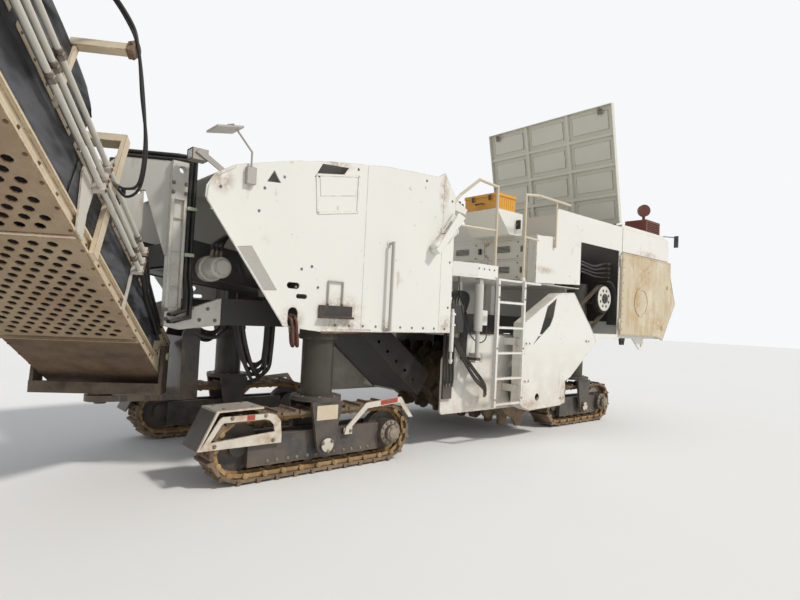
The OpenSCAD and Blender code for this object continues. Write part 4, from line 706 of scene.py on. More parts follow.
def level_block(mesh, low, high, soft=0.003):
    """A box with softened edges, square to the machine, from two corners given from the datum."""
    size = Vector(high) - Vector(low)
    block(mesh, at(*low), X * size.x, Y * size.y, Z * size.z, soft)


def slab(mesh, points, thick, soft):
    """A plate with softened edges: its outline's points, and its thickness as a vector."""
    low = [mesh.verts.new(p) for p in points]
    high = [mesh.verts.new(p + thick) for p in points]
    n = len(points)
    faces = [mesh.faces.new(low[::-1]), mesh.faces.new(high)]
    for i in range(n):
        faces.append(mesh.faces.new((low[i], low[(i + 1) % n], high[(i + 1) % n], high[i])))
    edges = list({edge for face in faces for edge in face.edges})
    bmesh.ops.bevel(mesh, geom=edges, offset=soft, segments=1, affect="EDGES")


def oblong(x, z, half_x, half_z):
    """A level oblong's corners round its middle."""
    return [(x - half_x, z - half_z), (x + half_x, z - half_z), (x + half_x, z + half_z), (x - half_x, z + half_z)]


def side_slab(mesh, outline, y, thick, soft):
    """A plate that stands along the machine: its outline in x and z, and its thickness outwards."""
    slab(mesh, [at(x, y, z) for x, z in outline], Y * thick, soft)


def rounded_path(points, steps):
    """Points along a smooth curve through the given ones."""
    pts = [points[0] * 2 - points[1], *points, points[-1] * 2 - points[-2]]
    path = []
    for a, b, c, d in zip(pts, pts[1:], pts[2:], pts[3:]):
        for i in range(steps):
            t = i / steps
            path.append(0.5 * ((2 * b) + (c - a) * t + (2 * a - 5 * b + 4 * c - d) * t ** 2
                               + (3 * b - a - 3 * c + d) * t ** 3))
    return path + [points[-1]]


def sweep(mesh, path, radius, sides=12):
    """A round tube along a path."""
    side = (path[1] - path[0]).orthogonal()
    rings = []
    for i, point in enumerate(path):
        ahead = (path[min(i + 1, len(path) - 1)] - path[max(i - 1, 0)]).normalized()
        side = (side - ahead * side.dot(ahead)).normalized()
        up = ahead.cross(side)
        rings.append([mesh.verts.new(point + side * c + up * s) for c, s in circle(sides, radius)])
    join_rings(mesh, rings)


def hose(rubber, metal, points, radius, steps=7):
    """A hose with a crimped fitting and a nut at each end, into two meshes."""
    path = rounded_path(points, steps)
    sweep(rubber, path, radius)
    nut = [(0, 0.8), (0.2, 1.45), (1.1, 1.45), (1.3, 0.9)]
    crimp = [(1.2, 1.0), (1.4, 1.22), (2.6, 1.22), (2.9, 1.22), (4.2, 1.15), (4.4, 0.9)]
    for end, inner in ((path[0], path[1]), (path[-1], path[-2])):
        for profile, sides in ((nut, 6), (crimp, 14)):
            lathe(metal, end, inner - end, [(radius * along, radius * out) for along, out in profile], sides)


def bundle(rubber, metal, count, radius, rows, growth=0.0, alternate=0.0):
    """Hoses side by side: each row holds a point from the datum and how far the next hose lies from it there.

    Each hose is thicker than the last by the growth. Every other one is also thicker by the alternate
    radius, and shifted by a row's last three numbers.
    """
    for i in range(count):
        points = []
        for x, y, z, *shift in rows:
            shift = Vector([*shift, 0, 0, 0, 0, 0, 0][:6])
            points.append(at(x, y, z) + Vector(shift[:3]) * i + Vector(shift[3:]) * (i % 2))
        hose(rubber, metal, points, radius + growth * i + alternate * (i % 2))


# ---------------------------------------------------------------- tracks and canvas in numbers

# Each track's length over its shoes and the count of its shoes, for the front and the rear ones
TRACKS = {"f": (2.18, 28), "r": (1.74, 22)}
TRACK_HIGH = 0.6
WHEEL_HIGH = TRACK_HIGH / 2
PIN_HIGH = 0.27


def track_reach(corner):
    """How far a track's end wheels stand from its leg."""
    return (TRACKS[corner[0]][0] - TRACK_HIGH) / 2


def corner_point(corner, x, y, z):
    """A point from a leg's axis on the ground, y outwards."""
    x0, y0, s = CORNERS[corner]
    return at(x0 + x, y0 + s * y, z)


def on_track(corner, t, r, y):
    """A point and its outward direction at share t of the track's loop, r out from the end wheels' centres."""
    reach = track_reach(corner)
    straight, arc = 2 * reach, math.pi * TRACK_HIGH / 2
    d = (t % 1.0) * 2 * (straight + arc)
    if d < straight:
        x, z, out = -reach + d, -r, -Z
    elif d < straight + arc:
        a = (d - straight) / arc * math.pi
        x, z, out = reach + r * math.sin(a), -r * math.cos(a), X * math.sin(a) - Z * math.cos(a)
    elif d < 2 * straight + arc:
        x, z, out = reach - (d - straight - arc), r, Z
    else:
        a = (d - 2 * straight - arc) / arc * math.pi
        x, z, out = -reach - r * math.sin(a), r * math.cos(a), Z * math.cos(a) - X * math.sin(a)
    return corner_point(corner, x, y, WHEEL_HIGH + z), out


# The canvas along the conveyor: the high cover's ends, the low sides' start and length, and the hoops
COVER_FROM, COVER_TO = 2.36, 6.92
SIDE_FROM, SIDE_LONG = 0.304, 2.048
HOOPS = [2.775 + 1.24 * k for k in range(4)]
# Across it: the sheets' outer half widths, their lower edge, and the low sides' height
COVER_OUT, SIDE_OUT = 0.4963, 0.4944
CANVAS_LOW, SIDE_HIGH = -0.0585, 0.3265
# Where the high cover's sides and its roof begin to sag, and over what height they come to do so fully
SIDE_SAGS, ROOF_SAGS = (0.27, 0.15), (0.40, 0.2)
# How deep the roof and the sides sag, how deep the folds are, and how far from a hoop all that is full
ROOF_SAG, SIDE_SAG, FOLD_DEEP, FREE_FROM_HOOP = 0.020, 0.010, 0.0035, 0.35
# The cover's height at its lower end, how much it rises from there, and over what length
END_HIGH, END_RISE, END_LONG = 0.49, 0.1845, 0.36


def cover_outline(steps):
    """The high cover's cross section from its left lower edge over the top to the right."""
    half = [(COVER_OUT, CANVAS_LOW), (COVER_OUT, 0.58), (0.487, 0.63), (0.455, 0.661), (0.36, 0.671), (0.0, 0.6745)]
    full = half + [(-v, w) for v, w in half[-2::-1]]
    spans = [(a, b, math.dist(a, b)) for a, b in pairs(full)]
    total = sum(length for a, b, length in spans)
    places = []
    for k in range(steps + 1):
        d = total * k / steps
        for a, b, length in spans:
            if d <= length + 1e-9:
                places.append((a[0] + (b[0] - a[0]) * d / length, a[1] + (b[1] - a[1]) * d / length))
                break
            d -= length
    return places


def share(value, start, span):
    """How far a value is through a span, held between 0 and 1."""
    return max(0.0, min(1.0, (value - start) / span))


def sheet_mesh(rows, thick):
    """A thin closed sheet from rows of points, its second face set in along the rows' normals."""
    mesh = bmesh.new()
    grid = [[mesh.verts.new(p) for p in row] for row in rows]
    for a, b in pairs(grid):
        for i in range(len(a) - 1):
            mesh.faces.new((a[i], a[i + 1], b[i + 1], b[i]))
    bmesh.ops.recalc_face_normals(mesh, faces=mesh.faces)
    bmesh.ops.solidify(mesh, geom=mesh.faces[:], thickness=thick)
    return mesh


class MILLING_OT_canvas(bpy.types.Operator):
    """Makes the canvas over the discharge conveyor: the high cover and the low sides"""

    bl_idname = "milling.canvas"
    bl_label = "Canvas cover"

    def execute(self, context):
        sizes = context.scene.milling_sizes
        outline = cover_outline(84)
        rows, steps = [], 170
        for j in range(steps + 1):
            u = COVER_FROM + 0.004 + (COVER_TO - COVER_FROM - 0.008) * j / steps
            # The cloth is tight over the hoops, sags between them, and comes down at its lower end
            slack = min(1.0, min(abs(u - h) for h in HOOPS) / FREE_FROM_HOOP) ** 1.5
            highest = END_HIGH + END_RISE * min(1.0, (u - COVER_FROM) / END_LONG) ** 0.36
            row = []
            for k, (v, w) in enumerate(outline):
                roof = share(w, *ROOF_SAGS)
                side = share(w, *SIDE_SAGS) * (1 - roof)
                fold = math.sin(u * 17.0 + k * 0.21) * math.sin(u * 5.3 + 1.0) * math.sin(k * 0.37 + u * 2.1)
                sag = slack * (ROOF_SAG * roof + SIDE_SAG * side + FOLD_DEEP * (fold + 0.6) * (roof + side))
                rim = 0.0015 * math.sin(u * 23.0 + k * 0.1) * (1 - roof - side)
                v_in = math.copysign(min(abs(v), COVER_OUT - 0.0015), v)
                row.append(on_conveyor(u, v_in * (1 - sag * 1.6 * side) + rim, min(w, highest) - sag * roof))
            rows.append(row)
        cover = new_piece("high_cover", "conveyor", "canvas", sheet_mesh(rows, sizes.canvas_thick),
                          smooth=True)
        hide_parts("conveyor_cover")
        for side, name in zip(LEFT_AND_RIGHT, ("left", "right")):
            rows, steps, rise = [], 120, 14
            for j in range(steps + 1):
                u = SIDE_FROM + SIDE_LONG * j / steps
                wave = 0.0018 * math.sin(u * 14.0 + math.sin(u * 5.0) * 2)
                droop = min(0.0, 0.004 * math.sin(u * 9.0))
                rows.append([on_conveyor(u, side * (SIDE_OUT + wave * (1.0 - 0.6 * k / rise)),
                                         CANVAS_LOW + SIDE_HIGH * k / rise + droop * (k == rise))
                             for k in range(rise + 1)])
            curtain = new_piece("canvas_side_" + name, "conveyor", "canvas",
                                sheet_mesh(rows, sizes.side_canvas_thick), smooth=True)
            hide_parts("conveyor_cover")
        # Battens with rivets that hold the canvas's edge to the frame
        strips, studs = bmesh.new(), []
        for side in LEFT_AND_RIGHT:
            out = ACROSS * side
            for k in range(9):
                start = on_conveyor(0.36 + k * 0.72, side * 0.4972, 0.196)
                block(strips, start, ALONG * 0.66, out * 0.003, UP * 0.03, 0.001)
                studs += [(start + ALONG * (0.05 + 0.14 * i) + out * 0.003 + UP * 0.015, out) for i in range(5)]
        new_piece("canvas_battens", "conveyor", "conveyor cream", strips)
        bolt_set("canvas_studs", "conveyor", "bolt steel", studs, 0.012)
        return {"FINISHED"}


# The inner and outer row of links: how far out from the wheels' centres, and from the track's middle
LINK_ROWS = ((0.222, 0.046), (0.228, 0.112))
SHOE_FACE = 0.2772
# The pins' turned bosses: height and radius
INNER_BOSS = [(0, 0.027), (0.016, 0.027), (0.019, 0.022), (0.0195, 0.012)]
OUTER_BOSS = [(0, 0.023), (0.026, 0.023), (0.028, 0.026), (0.036, 0.026), (0.040, 0.020), (0.0405, 0.011)]


def chain_link(mesh, ends, outward, boss, below, above, thick, soft):
    """A link plate between two pins with the first pin's boss: ends holds each pin and its outward direction."""
    (a, out_a), (b, out_b) = ends
    high, radius = boss[-1]
    lathe(mesh, a, outward, boss, 14)
    lathe(mesh, a + outward * high, outward, [(0, radius - 0.001), (0.003, radius - 0.002)], 10)
    slab(mesh, [a - out_a * below, b - out_b * below, b + out_b * above, a + out_a * above], outward * thick, soft)


class MILLING_OT_track_links(bpy.types.Operator):
    """Adds each track's link plates, pin bosses and shoe bolts"""

    bl_idname = "milling.track_links"
    bl_label = "Track links"

    def execute(self, context):
        for corner in CORNERS:
            count = TRACKS[corner[0]][1]
            links, bolts = bmesh.new(), []
            for i in range(count):
                for side in (-1, 1):
                    outward = Y * side * CORNERS[corner][2]
                    inner, outer = ([on_track(corner, (i + t) / count, r, side * y) for t in (0.5, 1.5)]
                                    for r, y in LINK_ROWS)
                    chain_link(links, inner, outward, INNER_BOSS, 0.018, 0.018, 0.009, 0.0012)
                    # The outer links show only along the ground and round the end wheels
                    if min(pin.z for pin, _ in outer) < 0.1 or abs(outer[0][1].x) > 0.3:
                        chain_link(links, outer, outward, OUTER_BOSS, 0.014, 0.02, 0.014, 0.0015)
                    bolts += [on_track(corner, (i + t) / count, SHOE_FACE, side * y)
                              for t, y in ((0.22, 0.10), (0.55, 0.10), (0.22, 0.045), (0.55, 0.045))]
            new_piece("track_links_" + corner, "track_" + corner, "chain rust", links)
            bolt_set("shoe_bolts_" + corner, "track_" + corner, "rusty iron", bolts, 0.02)
        return {"FINISHED"}


class MILLING_OT_running_gear(bpy.types.Operator):
    """Adds hub faces, flange bolts, pin rings, plates and reflectors to the legs and bogies"""

    bl_idname = "milling.running_gear"
    bl_label = "Running gear fittings"

    def execute(self, context):
        for corner, (_, _, s) in CORNERS.items():
            self.dress(corner, "track_" + corner, Y * s)
        return {"FINISHED"}

    def dress(self, corner, body, outward):
        def point(x, y, z):
            return corner_point(corner, x, y, z)

        reach = track_reach(corner)
        front = corner[0] == "f"
        hub, rings = meshes(2)
        # Stepped cover on the final drive, with its two rings of bolts
        lathe(hub, point(-reach, 0.230, WHEEL_HIGH), outward,
              [(0, 0.078), (0.010, 0.078), (0.014, 0.060), (0.026, 0.056), (0.030, 0.030), (0.032, 0.012)], 28)
        lathe(hub, point(-reach, 0.190, WHEEL_HIGH), outward,
              [(0, 0.122), (0.006, 0.118), (0.010, 0.100), (0.014, 0.0855)], 28)
        bolts = [(point(c - reach, y, WHEEL_HIGH + s), outward)
                 for count, radius, y in ((12, 0.105, 0.199), (6, 0.066, 0.240)) for c, s in circle(count, radius)]
        new_piece("hub_" + corner, body, "hub steel", hub)
        # Ring and retaining plate round the yoke's pin, outside and inside
        for end in (1, -1):
            lathe(rings, point(0, end * 0.2365, PIN_HIGH), outward * end,
                  [(0, 0.047), (0.002, 0.062), (0.008, 0.064), (0.010, 0.050)], 26)
            bolts += [(point(0.055 * math.cos(a), end * 0.2455, PIN_HIGH + 0.055 * math.sin(a)), outward * end)
                      for a in (0.4, 2.5, 4.6)]
        new_piece("pin_rings_" + corner, body, "frame white", rings)
        # Bolts on the yoke's flange and along the side frames
        bolts += [(point(c, s, 0.7), Z) for c, s in circle(8, 0.205, math.radians(22))]
        count = 6 if front else 4
        for i in range(count):
            x = -reach + 0.29 + i * (2 * reach - 0.58) / (count - 1)
            bolts += [(point(x + dx, 0.135, 0.175), outward) for dx in (-0.045, 0.045)]
        if front:
            bolts += [(point(x, 0.1765, z), outward) for x, z in
                      ((1.04, 0.36), (0.52, 0.36), (0.90, 0.575), (0.60, 0.575), (-0.30, 0.36), (-0.75, 0.62))]
            bolts += [(point(x, y, 0.642), Z) for x in (0.70, 0.95) for y in (-0.11, 0.11)]
            marks, plate = meshes(2)
            for x1, z1, x2, z2, high in ((0.70, 0.547, 0.77, 0.546, 0.042), (-0.88, 0.598, -0.66, 0.580, 0.045)):
                slab(marks, [point(x, 0.1768, z) for x, z in ((x1, z1), (x2, z2), (x2, z2 + high), (x1, z1 + high))],
                     outward * 0.002, 0.0006)
            new_piece("reflectors_" + corner, body, "reflector", marks)
            slab(plate, [point(x, 0.2167, z) for x, z in oblong(0, 0.5625, 0.115, 0.0675)], outward * 0.003, 0.001)
            new_piece("blank_plate_" + corner, body, "rail cream", plate)
        bolt_set("bogie_bolts_" + corner, body, "bolt steel", bolts, 0.024)
        # Wiper and clamp ring where the leg leaves its sleeve
        wiper = bmesh.new()
        lathe(wiper, point(0, 0, 1.238), -Z, [(-0.03, 0.188), (0.0, 0.188), (0.014, 0.180), (0.018, 0.156)], 40)
        new_piece("leg_wiper_" + corner, "chassis", "dark iron", wiper)


class MILLING_OT_body_hoses(bpy.types.Operator):
    """Hangs the hydraulic hoses under the front body and beside the legs, with the pale gear between them"""

    bl_idname = "milling.body_hoses"
    bl_label = "Body hoses"

    def execute(self, context):
        rubber, metal, red_rubber, pale, strip = meshes(5)
        # Bundle from the frame's front end down and back up inside the left track, in two rows
        for x, low, radius, alternate in ((2.86, 0.80, 0.016, 0.003), (2.81, 0.84, 0.019, -0.003)):
            bundle(rubber, metal, 3, radius,
                   [(x + 0.06, 0.53, 1.56, 0, -0.03), (x + 0.05, 0.53, 1.30, 0, -0.03),
                    (x - 0.02, 0.54, 1.02, 0, -0.03), (x - 0.12, 0.53, low, 0, -0.03, 0.05),
                    (x - 0.24, 0.52, low + 0.06, 0, -0.03, 0.05),
                    (x - 0.27, 0.51, 1.06, 0, -0.03), (x - 0.28, 0.51, 1.30, 0, -0.03),
                    (x - 0.28, 0.51, 1.50, 0, -0.03)], alternate=alternate)
        # The same on the right, with fewer
        bundle(rubber, metal, 4, 0.017,
               [(2.90, -0.70, 1.56, 0, 0.034), (2.89, -0.70, 1.32, 0, 0.034), (2.80, -0.70, 1.13, 0, 0.034, 0.03),
                (2.66, -0.70, 1.12, 0, 0.034, 0.03), (2.60, -0.70, 1.30, 0, 0.034), (2.60, -0.70, 1.50, 0, 0.034)])
        # Rusty red hoses out of the side plate's hole
        bundle(red_rubber, metal, 2, 0.014,
               [(2.70, 1.12, 1.44, 0.045, 0, -0.02), (2.70, 1.20, 1.43, 0.045, 0, -0.02), (2.70, 1.235, 1.38, 0.045),
                (2.68, 1.235, 1.24, 0.045), (2.65, 1.19, 1.17, 0.045), (2.62, 1.10, 1.20, 0.045),
                (2.60, 1.04, 1.34, 0.045)])
        # Hoses round the valve block and column on the left
        bundle(rubber, metal, 6, 0.012,
               [(0.50, 1.10, 1.64, 0.045), (0.50, 1.10, 1.73, 0.045), (0.45, 1.13, 1.80, 0.025, 0, 0, 0, 0.01),
                (0.35, 1.12, 1.72, 0.025), (0.42, 1.09, 1.45, -0.02), (0.40, 1.06, 1.25, -0.02),
                (0.40, 1.05, 1.12, -0.02, 0, -0.03)])
        bundle(rubber, metal, 4, 0.011,
               [(0.56, 1.15, 1.32, 0.03), (0.50, 1.165, 1.14, 0.02), (0.28, 1.165, 0.93, 0, 0, -0.04, 0, 0.01),
                (0.08, 1.16, 0.76, 0, 0, -0.03), (-0.02, 1.12, 0.66, 0, 0, -0.02), (-0.04, 1.08, 0.62, 0, 0, -0.02)],
               alternate=0.002)
        bundle(rubber, metal, 3, 0.011,
               [(0.52, 1.075, 1.33, 0.05), (0.52, 1.075, 1.22, 0.05), (0.54, 1.09, 1.0, 0.05), (0.52, 1.08, 0.80, 0.05),
                (0.50, 1.05, 0.70, 0.05)])
        # Lines from the pump motor
        bundle(rubber, metal, 3, 0.015,
               [(3.16, 0.62, 1.93, 0.04), (3.15, 0.64, 2.05, 0.04), (3.05, 0.60, 2.16, 0, 0.04),
                (2.88, 0.56, 2.10, 0, 0.05), (2.75, 0.56, 1.85, 0, 0.05), (2.72, 0.58, 1.60, 0, 0.04)])
        # Loops between the primary conveyor's head and the posts
        bundle(rubber, metal, 3, 0.014,
               [(3.47, 0.56, 1.52, -0.03), (3.44, 0.555, 1.40, -0.03), (3.30, 0.53, 1.24, 0, -0.02),
                (3.12, 0.52, 1.20, 0, -0.02), (2.98, 0.50, 1.30, 0, -0.02), (2.96, 0.50, 1.44, 0, -0.02)])
        self.add_pale_gear(pale)
        new_piece("side_pale_gear", "chassis", "housing white", pale)
        # Worn lower edge of the side plate, under the hoop's box
        side_slab(strip, [(1.86, 1.300), (2.43, 1.286), (2.43, 1.318), (1.86, 1.332)], 1.2205, 0.003, 0.001)
        new_piece("edge_strip", "chassis", "rusty bolt", strip)
        new_piece("body_hoses", "chassis", "hose rubber", rubber, smooth=True)
        new_piece("red_hoses", "chassis", "red hose", red_rubber, smooth=True)
        new_piece("body_hose_fittings", "chassis", "bolt steel", metal)
        return {"FINISHED"}

    def add_pale_gear(self, pale):
        """The small cylinder and its valves beside the housing, and each side's short duct with its brackets."""
        lathe(pale, at(0.70, 1.201, 0.98), Z,
              [(0, 0.014), (0.02, 0.022), (0.05, 0.022), (0.052, 0.013), (0.13, 0.013), (0.132, 0.025), (0.58, 0.025),
               (0.582, 0.018), (0.61, 0.018)], 20)
        for z in (1.40, 1.52):
            level_block(pale, (0.670, 1.168, z), (0.730, 1.228, z + 0.022))
        level_block(pale, (0.13, 1.07, 0.98), (0.26, 1.18, 1.09), 0.006)
        for x in (0.155, 0.195, 0.235):
            lathe(pale, at(x, 1.175, 1.035), Y, [(0, 0.016), (0.02, 0.016), (0.024, 0.010)], 12)
        level_block(pale, (0.05, 1.07, 1.42), (0.20, 1.16, 1.60), 0.006)
        for s in LEFT_AND_RIGHT:
            low = at(1.10, s * 1.27, 2.208)
            lathe(pale, low, at(0.80, s * 1.27, 2.462) - low,
                  [(0, 0.030), (0.008, 0.052), (0.03, 0.060), (0.36, 0.060), (0.363, 0.064), (0.385, 0.064),
                   (0.39, 0.050)], 28)
            near, far = sorted((s * 1.205, s * 1.25))
            for x, z in ((1.00, 2.293), (0.86, 2.411)):
                level_block(pale, (x - 0.012, near, z - 0.07), (x + 0.012, far, z + 0.07))


def edge_rods(mesh, outline, y, radius, sides):
    """Rods along an outline in x and z, one for each straight part."""
    for (x1, z1), (x2, z2) in pairs(outline):
        sweep(mesh, [at(x1, y, z1), at(x2, y, z2)], radius, sides)


GUARD_EDGE = [(-0.48, 1.462), (-1.213, 1.878), (-1.572, 1.909), (-2.062, 1.417), (-2.186, 1.252), (-1.545, 0.777),
              (-1.418, 0.722), (-1.428, 0.437), (-1.3, 0.410), (-0.645, 0.392), (-0.480, 0.447), (-0.48, 1.462)]
DOOR_EDGE = [(-3.0, 2.62), (-4.665, 2.62), (-4.674, 2.402), (-4.885, 1.932), (-4.447, 1.31), (-4.258, 1.368),
             (-3.0, 1.378), (-3.0, 2.62)]


class MILLING_OT_side_details(bpy.types.Operator):
    """Adds the rims, lips, seams and bolts of the front body's side plates and of the belt guard"""

    bl_idname = "milling.side_details"
    bl_label = "Side plate details"

    def execute(self, context):
        rims, guard_rims = meshes(2)
        bolts, guard_bolts = [], []
        for s in LEFT_AND_RIGHT:
            y, lip_y, out = s * SIDE_PLATE, s * (SIDE_PLATE + 0.001), Y * s
            # Raised frame of the flap below the window, and its inner panel
            flap = [(2.56, 2.715), (2.09, 2.795), (2.09, 2.45), (2.53, 2.37), (2.56, 2.715)]
            for (x1, z1), (x2, z2) in pairs(flap):
                side = Vector((z2 - z1, 0, x1 - x2)).normalized() * 0.011
                a, b = at(x1, y, z1), at(x2, y, z2)
                slab(rims, [a - side, b - side, b + side, a + side], out * 0.007, 0.002)
            side_slab(rims, [(2.53, 2.72), (2.12, 2.79), (2.12, 2.60), (2.51, 2.53)], y, s * 0.004, 0.001)
            # Folded lip along the front and lower edge
            edge_rods(rims, [(2.85, 1.395), (3.545, 2.325), (3.535, 2.425), (3.475, 2.525), (3.325, 2.625)], lip_y,
                      0.009, 10)
            edge_rods(rims, [(0.76, 1.33), (2.43, 1.312)], lip_y, 0.008, 10)
            # Seams between the sheets, as thin raised joints
            for x, low, high in ((1.98, 1.33, 2.92), (0.93, 1.34, 3.0)):
                side_slab(rims, [(x, low), (x, high), (x + 0.006, high), (x + 0.006, low)], y, s * 0.0015, 0.0004)
            bolts += [(at(0.84 + i * 0.16, y, 1.365), out) for i in range(10)]
            bolts += [(at(2.60 + 0.12 * math.cos(a), y, 1.60 + 0.30 * math.sin(a)), out)
                      for a in (0.3, 1.0, 1.9, 2.8)]
            bolts += [(at(x, y, z), out) for x, z in
                      ((3.06, 2.50), (2.88, 2.63), (3.10, 2.30), (3.44, 2.44), (2.10, 2.86), (1.20, 2.93),
                       (0.80, 2.78), (0.80, 2.1), (0.80, 1.6))]
            # Grab bar's flanges
            for z in (1.34, 2.20):
                lathe(rims, at(1.67, y, z), out, [(0, 0.034), (0.006, 0.034), (0.008, 0.02)], 20)
        new_piece("side_rims", "chassis", "body white", rims)
        bolt_set("side_bolts", "chassis", "bolt steel", bolts, 0.018)
        # Latches and rim of the belt guard
        for x, z in ((-0.56, 0.75), (-0.56, 1.22), (-1.95, 1.26), (-1.35, 0.50)):
            side_slab(guard_rims, oblong(x, z, 0.05, 0.018), GUARD_FACE, 0.006, 0.002)
            guard_bolts += [(at(x + dx, GUARD_FACE + 0.006, z), Y) for dx in (-0.032, 0.032)]
        edge_rods(guard_rims, GUARD_EDGE, GUARD_FACE - 0.001, 0.006, 8)
        new_piece("guard_trim", "belt_guard", "body white", guard_rims)
        bolt_set("guard_bolts", "belt_guard", "bolt steel", guard_bolts, 0.016)
        return {"FINISHED"}


class MILLING_OT_conveyor_details(bpy.types.Operator):
    """Adds the tube nuts, clamp and guard bolts, cross strips and loose hose of the discharge conveyor"""

    bl_idname = "milling.conveyor_details"
    bl_label = "Conveyor details"

    def execute(self, context):
        nuts, strips, bar, clip, rubber, metal = meshes(6)
        tubes = (0.175, 0.25, 0.342)
        bolts = [(on_conveyor(u, 0.5812, w + dw), ACROSS)
                 for u in (1.205, 2.13, 3.62, 5.12, 6.62) for w in tubes for dw in (-0.018, 0.018)]
        for w in tubes:
            for u in (1.35, 2.9, 4.4, 5.9):
                lathe(nuts, on_conveyor(u, 0.555, w), ALONG,
                      [(0, 0.018), (0.004, 0.026), (0.034, 0.026), (0.038, 0.018)], 6)
                lathe(nuts, on_conveyor(u + 0.04, 0.555, w), ALONG,
                      [(0, 0.018), (0.003, 0.023), (0.022, 0.023), (0.025, 0.018)], 18)
        bolts += [(on_conveyor(-0.22 + k * 0.2, v, -0.178), -UP) for k in range(24) for v in (-0.485, 0.485)]
        for side in (-1, 1):
            bolts += [(on_conveyor(0.30 + k * 0.235, side * 0.478, -0.115), ACROSS * side) for k in range(30)]
            bolts += [(on_conveyor(-0.19 + 0.06 * (k % 7), side * 0.486, -0.02 + 0.2 * (k // 7)), ACROSS * side)
                      for k in range(14)]
        # Strips across the tail plates and at the guards' joints
        for u in (-0.27, 0.69, 2.108, 3.372):
            block(strips, on_conveyor(u, -0.492, -0.1795), ALONG * 0.024, ACROSS * 0.984, -UP * 0.006, 0.0015)
        new_piece("tube_nuts", "conveyor", "bolt steel", nuts)
        new_piece("guard_strips", "conveyor", "conveyor cream", strips)
        bolt_set("conveyor_bolts", "conveyor", "rusty bolt", bolts, 0.017)
        # Bar out of the cover, its rusty end with an eye, and the two thin hoses that hang over it
        block(bar, on_conveyor(2.72, 0.47, 0.625), ALONG * 0.05, ACROSS * 0.33, UP * 0.055, 0.006)
        block(bar, on_conveyor(2.72, 0.49, 0.19), ALONG * 0.04, ACROSS * 0.02, UP * 0.45, 0.004)
        new_piece("hose_bar", "conveyor", "conveyor cream", bar)
        block(clip, on_conveyor(2.712, 0.762, 0.615), ALONG * 0.066, ACROSS * 0.04, UP * 0.075, 0.008)
        eye = [(2.70, 0.78, 0.64), (2.69, 0.80, 0.70), (2.75, 0.80, 0.715), (2.79, 0.785, 0.66)]
        sweep(clip, rounded_path([on_conveyor(*p) for p in eye], 5), 0.008, 8)
        new_piece("hose_bar_end", "conveyor", "rusty bolt", clip)
        for shift in (0.0, 0.035):
            hang = [(3.5, 0.52, 0.46 - shift), (3.28, 0.60, 0.64), (3.0 + shift, 0.68, 0.80),
                    (2.84, 0.765 + shift / 2, 0.76), (2.745, 0.815, 0.66), (2.56, 0.82, 0.50 + shift),
                    (2.30 + shift, 0.81, 0.37), (2.06 + shift, 0.74, 0.27), (1.97 + shift, 0.64, 0.25 + shift),
                    (2.0, 0.56, 0.32)]
            hose(rubber, metal, [on_conveyor(*p) for p in hang], 0.009, 9)
        new_piece("thin_hose", "conveyor", "hose rubber", rubber, smooth=True)
        new_piece("thin_hose_fittings", "conveyor", "bolt steel", metal)
        return {"FINISHED"}


class MILLING_OT_nose_details(bpy.types.Operator):
    """Adds the plates, clamps and bolts of the nose frame, the pin's cap, and the work lamp's glass and frame"""

    bl_idname = "milling.nose_details"
    bl_label = "Nose details"

    def execute(self, context):
        plates, clamps, lamp, lamp_frame = meshes(4)
        bolts = []
        for s in LEFT_AND_RIGHT:
            y, out = s * POST_FACE, Y * s
            bolts += [(at(x, y, z), out) for x in (3.52, 3.626) for z in (1.36, 1.44, 2.44, 2.52)]
            bolts += [(at(3.20 + 0.07 * i, y, 1.36 + 0.10 * (i % 2)), out) for i in range(4)]
            for z in (1.62, 1.92, 2.22):
                side_slab(plates, oblong(3.571, z + 0.005, 0.039, 0.005), s * (POST_FACE - 0.028), s * 0.02, 0.002)
        # Clamp bars over the hoses behind the post
        for z in (2.3, 1.9):
            level_block(clamps, (3.425, 0.612, z), (3.505, 0.700, z + 0.03), 0.004)
        # Cap with its bolts on the swing pin
        lathe(plates, at(3.93, 0, 2.6905), Z, [(0, 0.12), (0.012, 0.12), (0.018, 0.11), (0.02, 0.052)], 30)
        bolts += [(at(3.93 + c, s, 2.706), Z) for c, s in circle(8, 0.09)]
        new_piece("nose_plates", "chassis", "frame white", plates)
        new_piece("hose_clamps", "chassis", "clamp green", clamps)
        bolt_set("nose_bolts", "chassis", "bolt steel", bolts, 0.024)
        # The work lamp's glass in ribs, its frame, and the cooling ribs on its side
        for k in range(6):
            level_block(lamp, (3.561, 0.79, 2.706 + 0.0135 * k), (3.565, 0.89, 2.716 + 0.0135 * k), 0.001)
        for z in (2.700, 2.789):
            level_block(lamp_frame, (3.558, 0.780, z), (3.568, 0.900, z + 0.006), 0.002)
        for y in (0.780, 0.894):
            level_block(lamp_frame, (3.558, y, 2.700), (3.568, y + 0.006, 2.795), 0.002)
        for k in range(7):
            level_block(lamp_frame, (3.44 + 0.014 * k, 0.778, 2.715), (3.446 + 0.014 * k, 0.7805, 2.78), 0.001)
        new_piece("lamp_glass", "chassis", "lamp glass", lamp)
        new_piece("lamp_frame", "chassis", "dark paint", lamp_frame)
        return {"FINISHED"}


# The clutch pulley's axis
PULLEY_X, PULLEY_Z = -2.7, 1.905


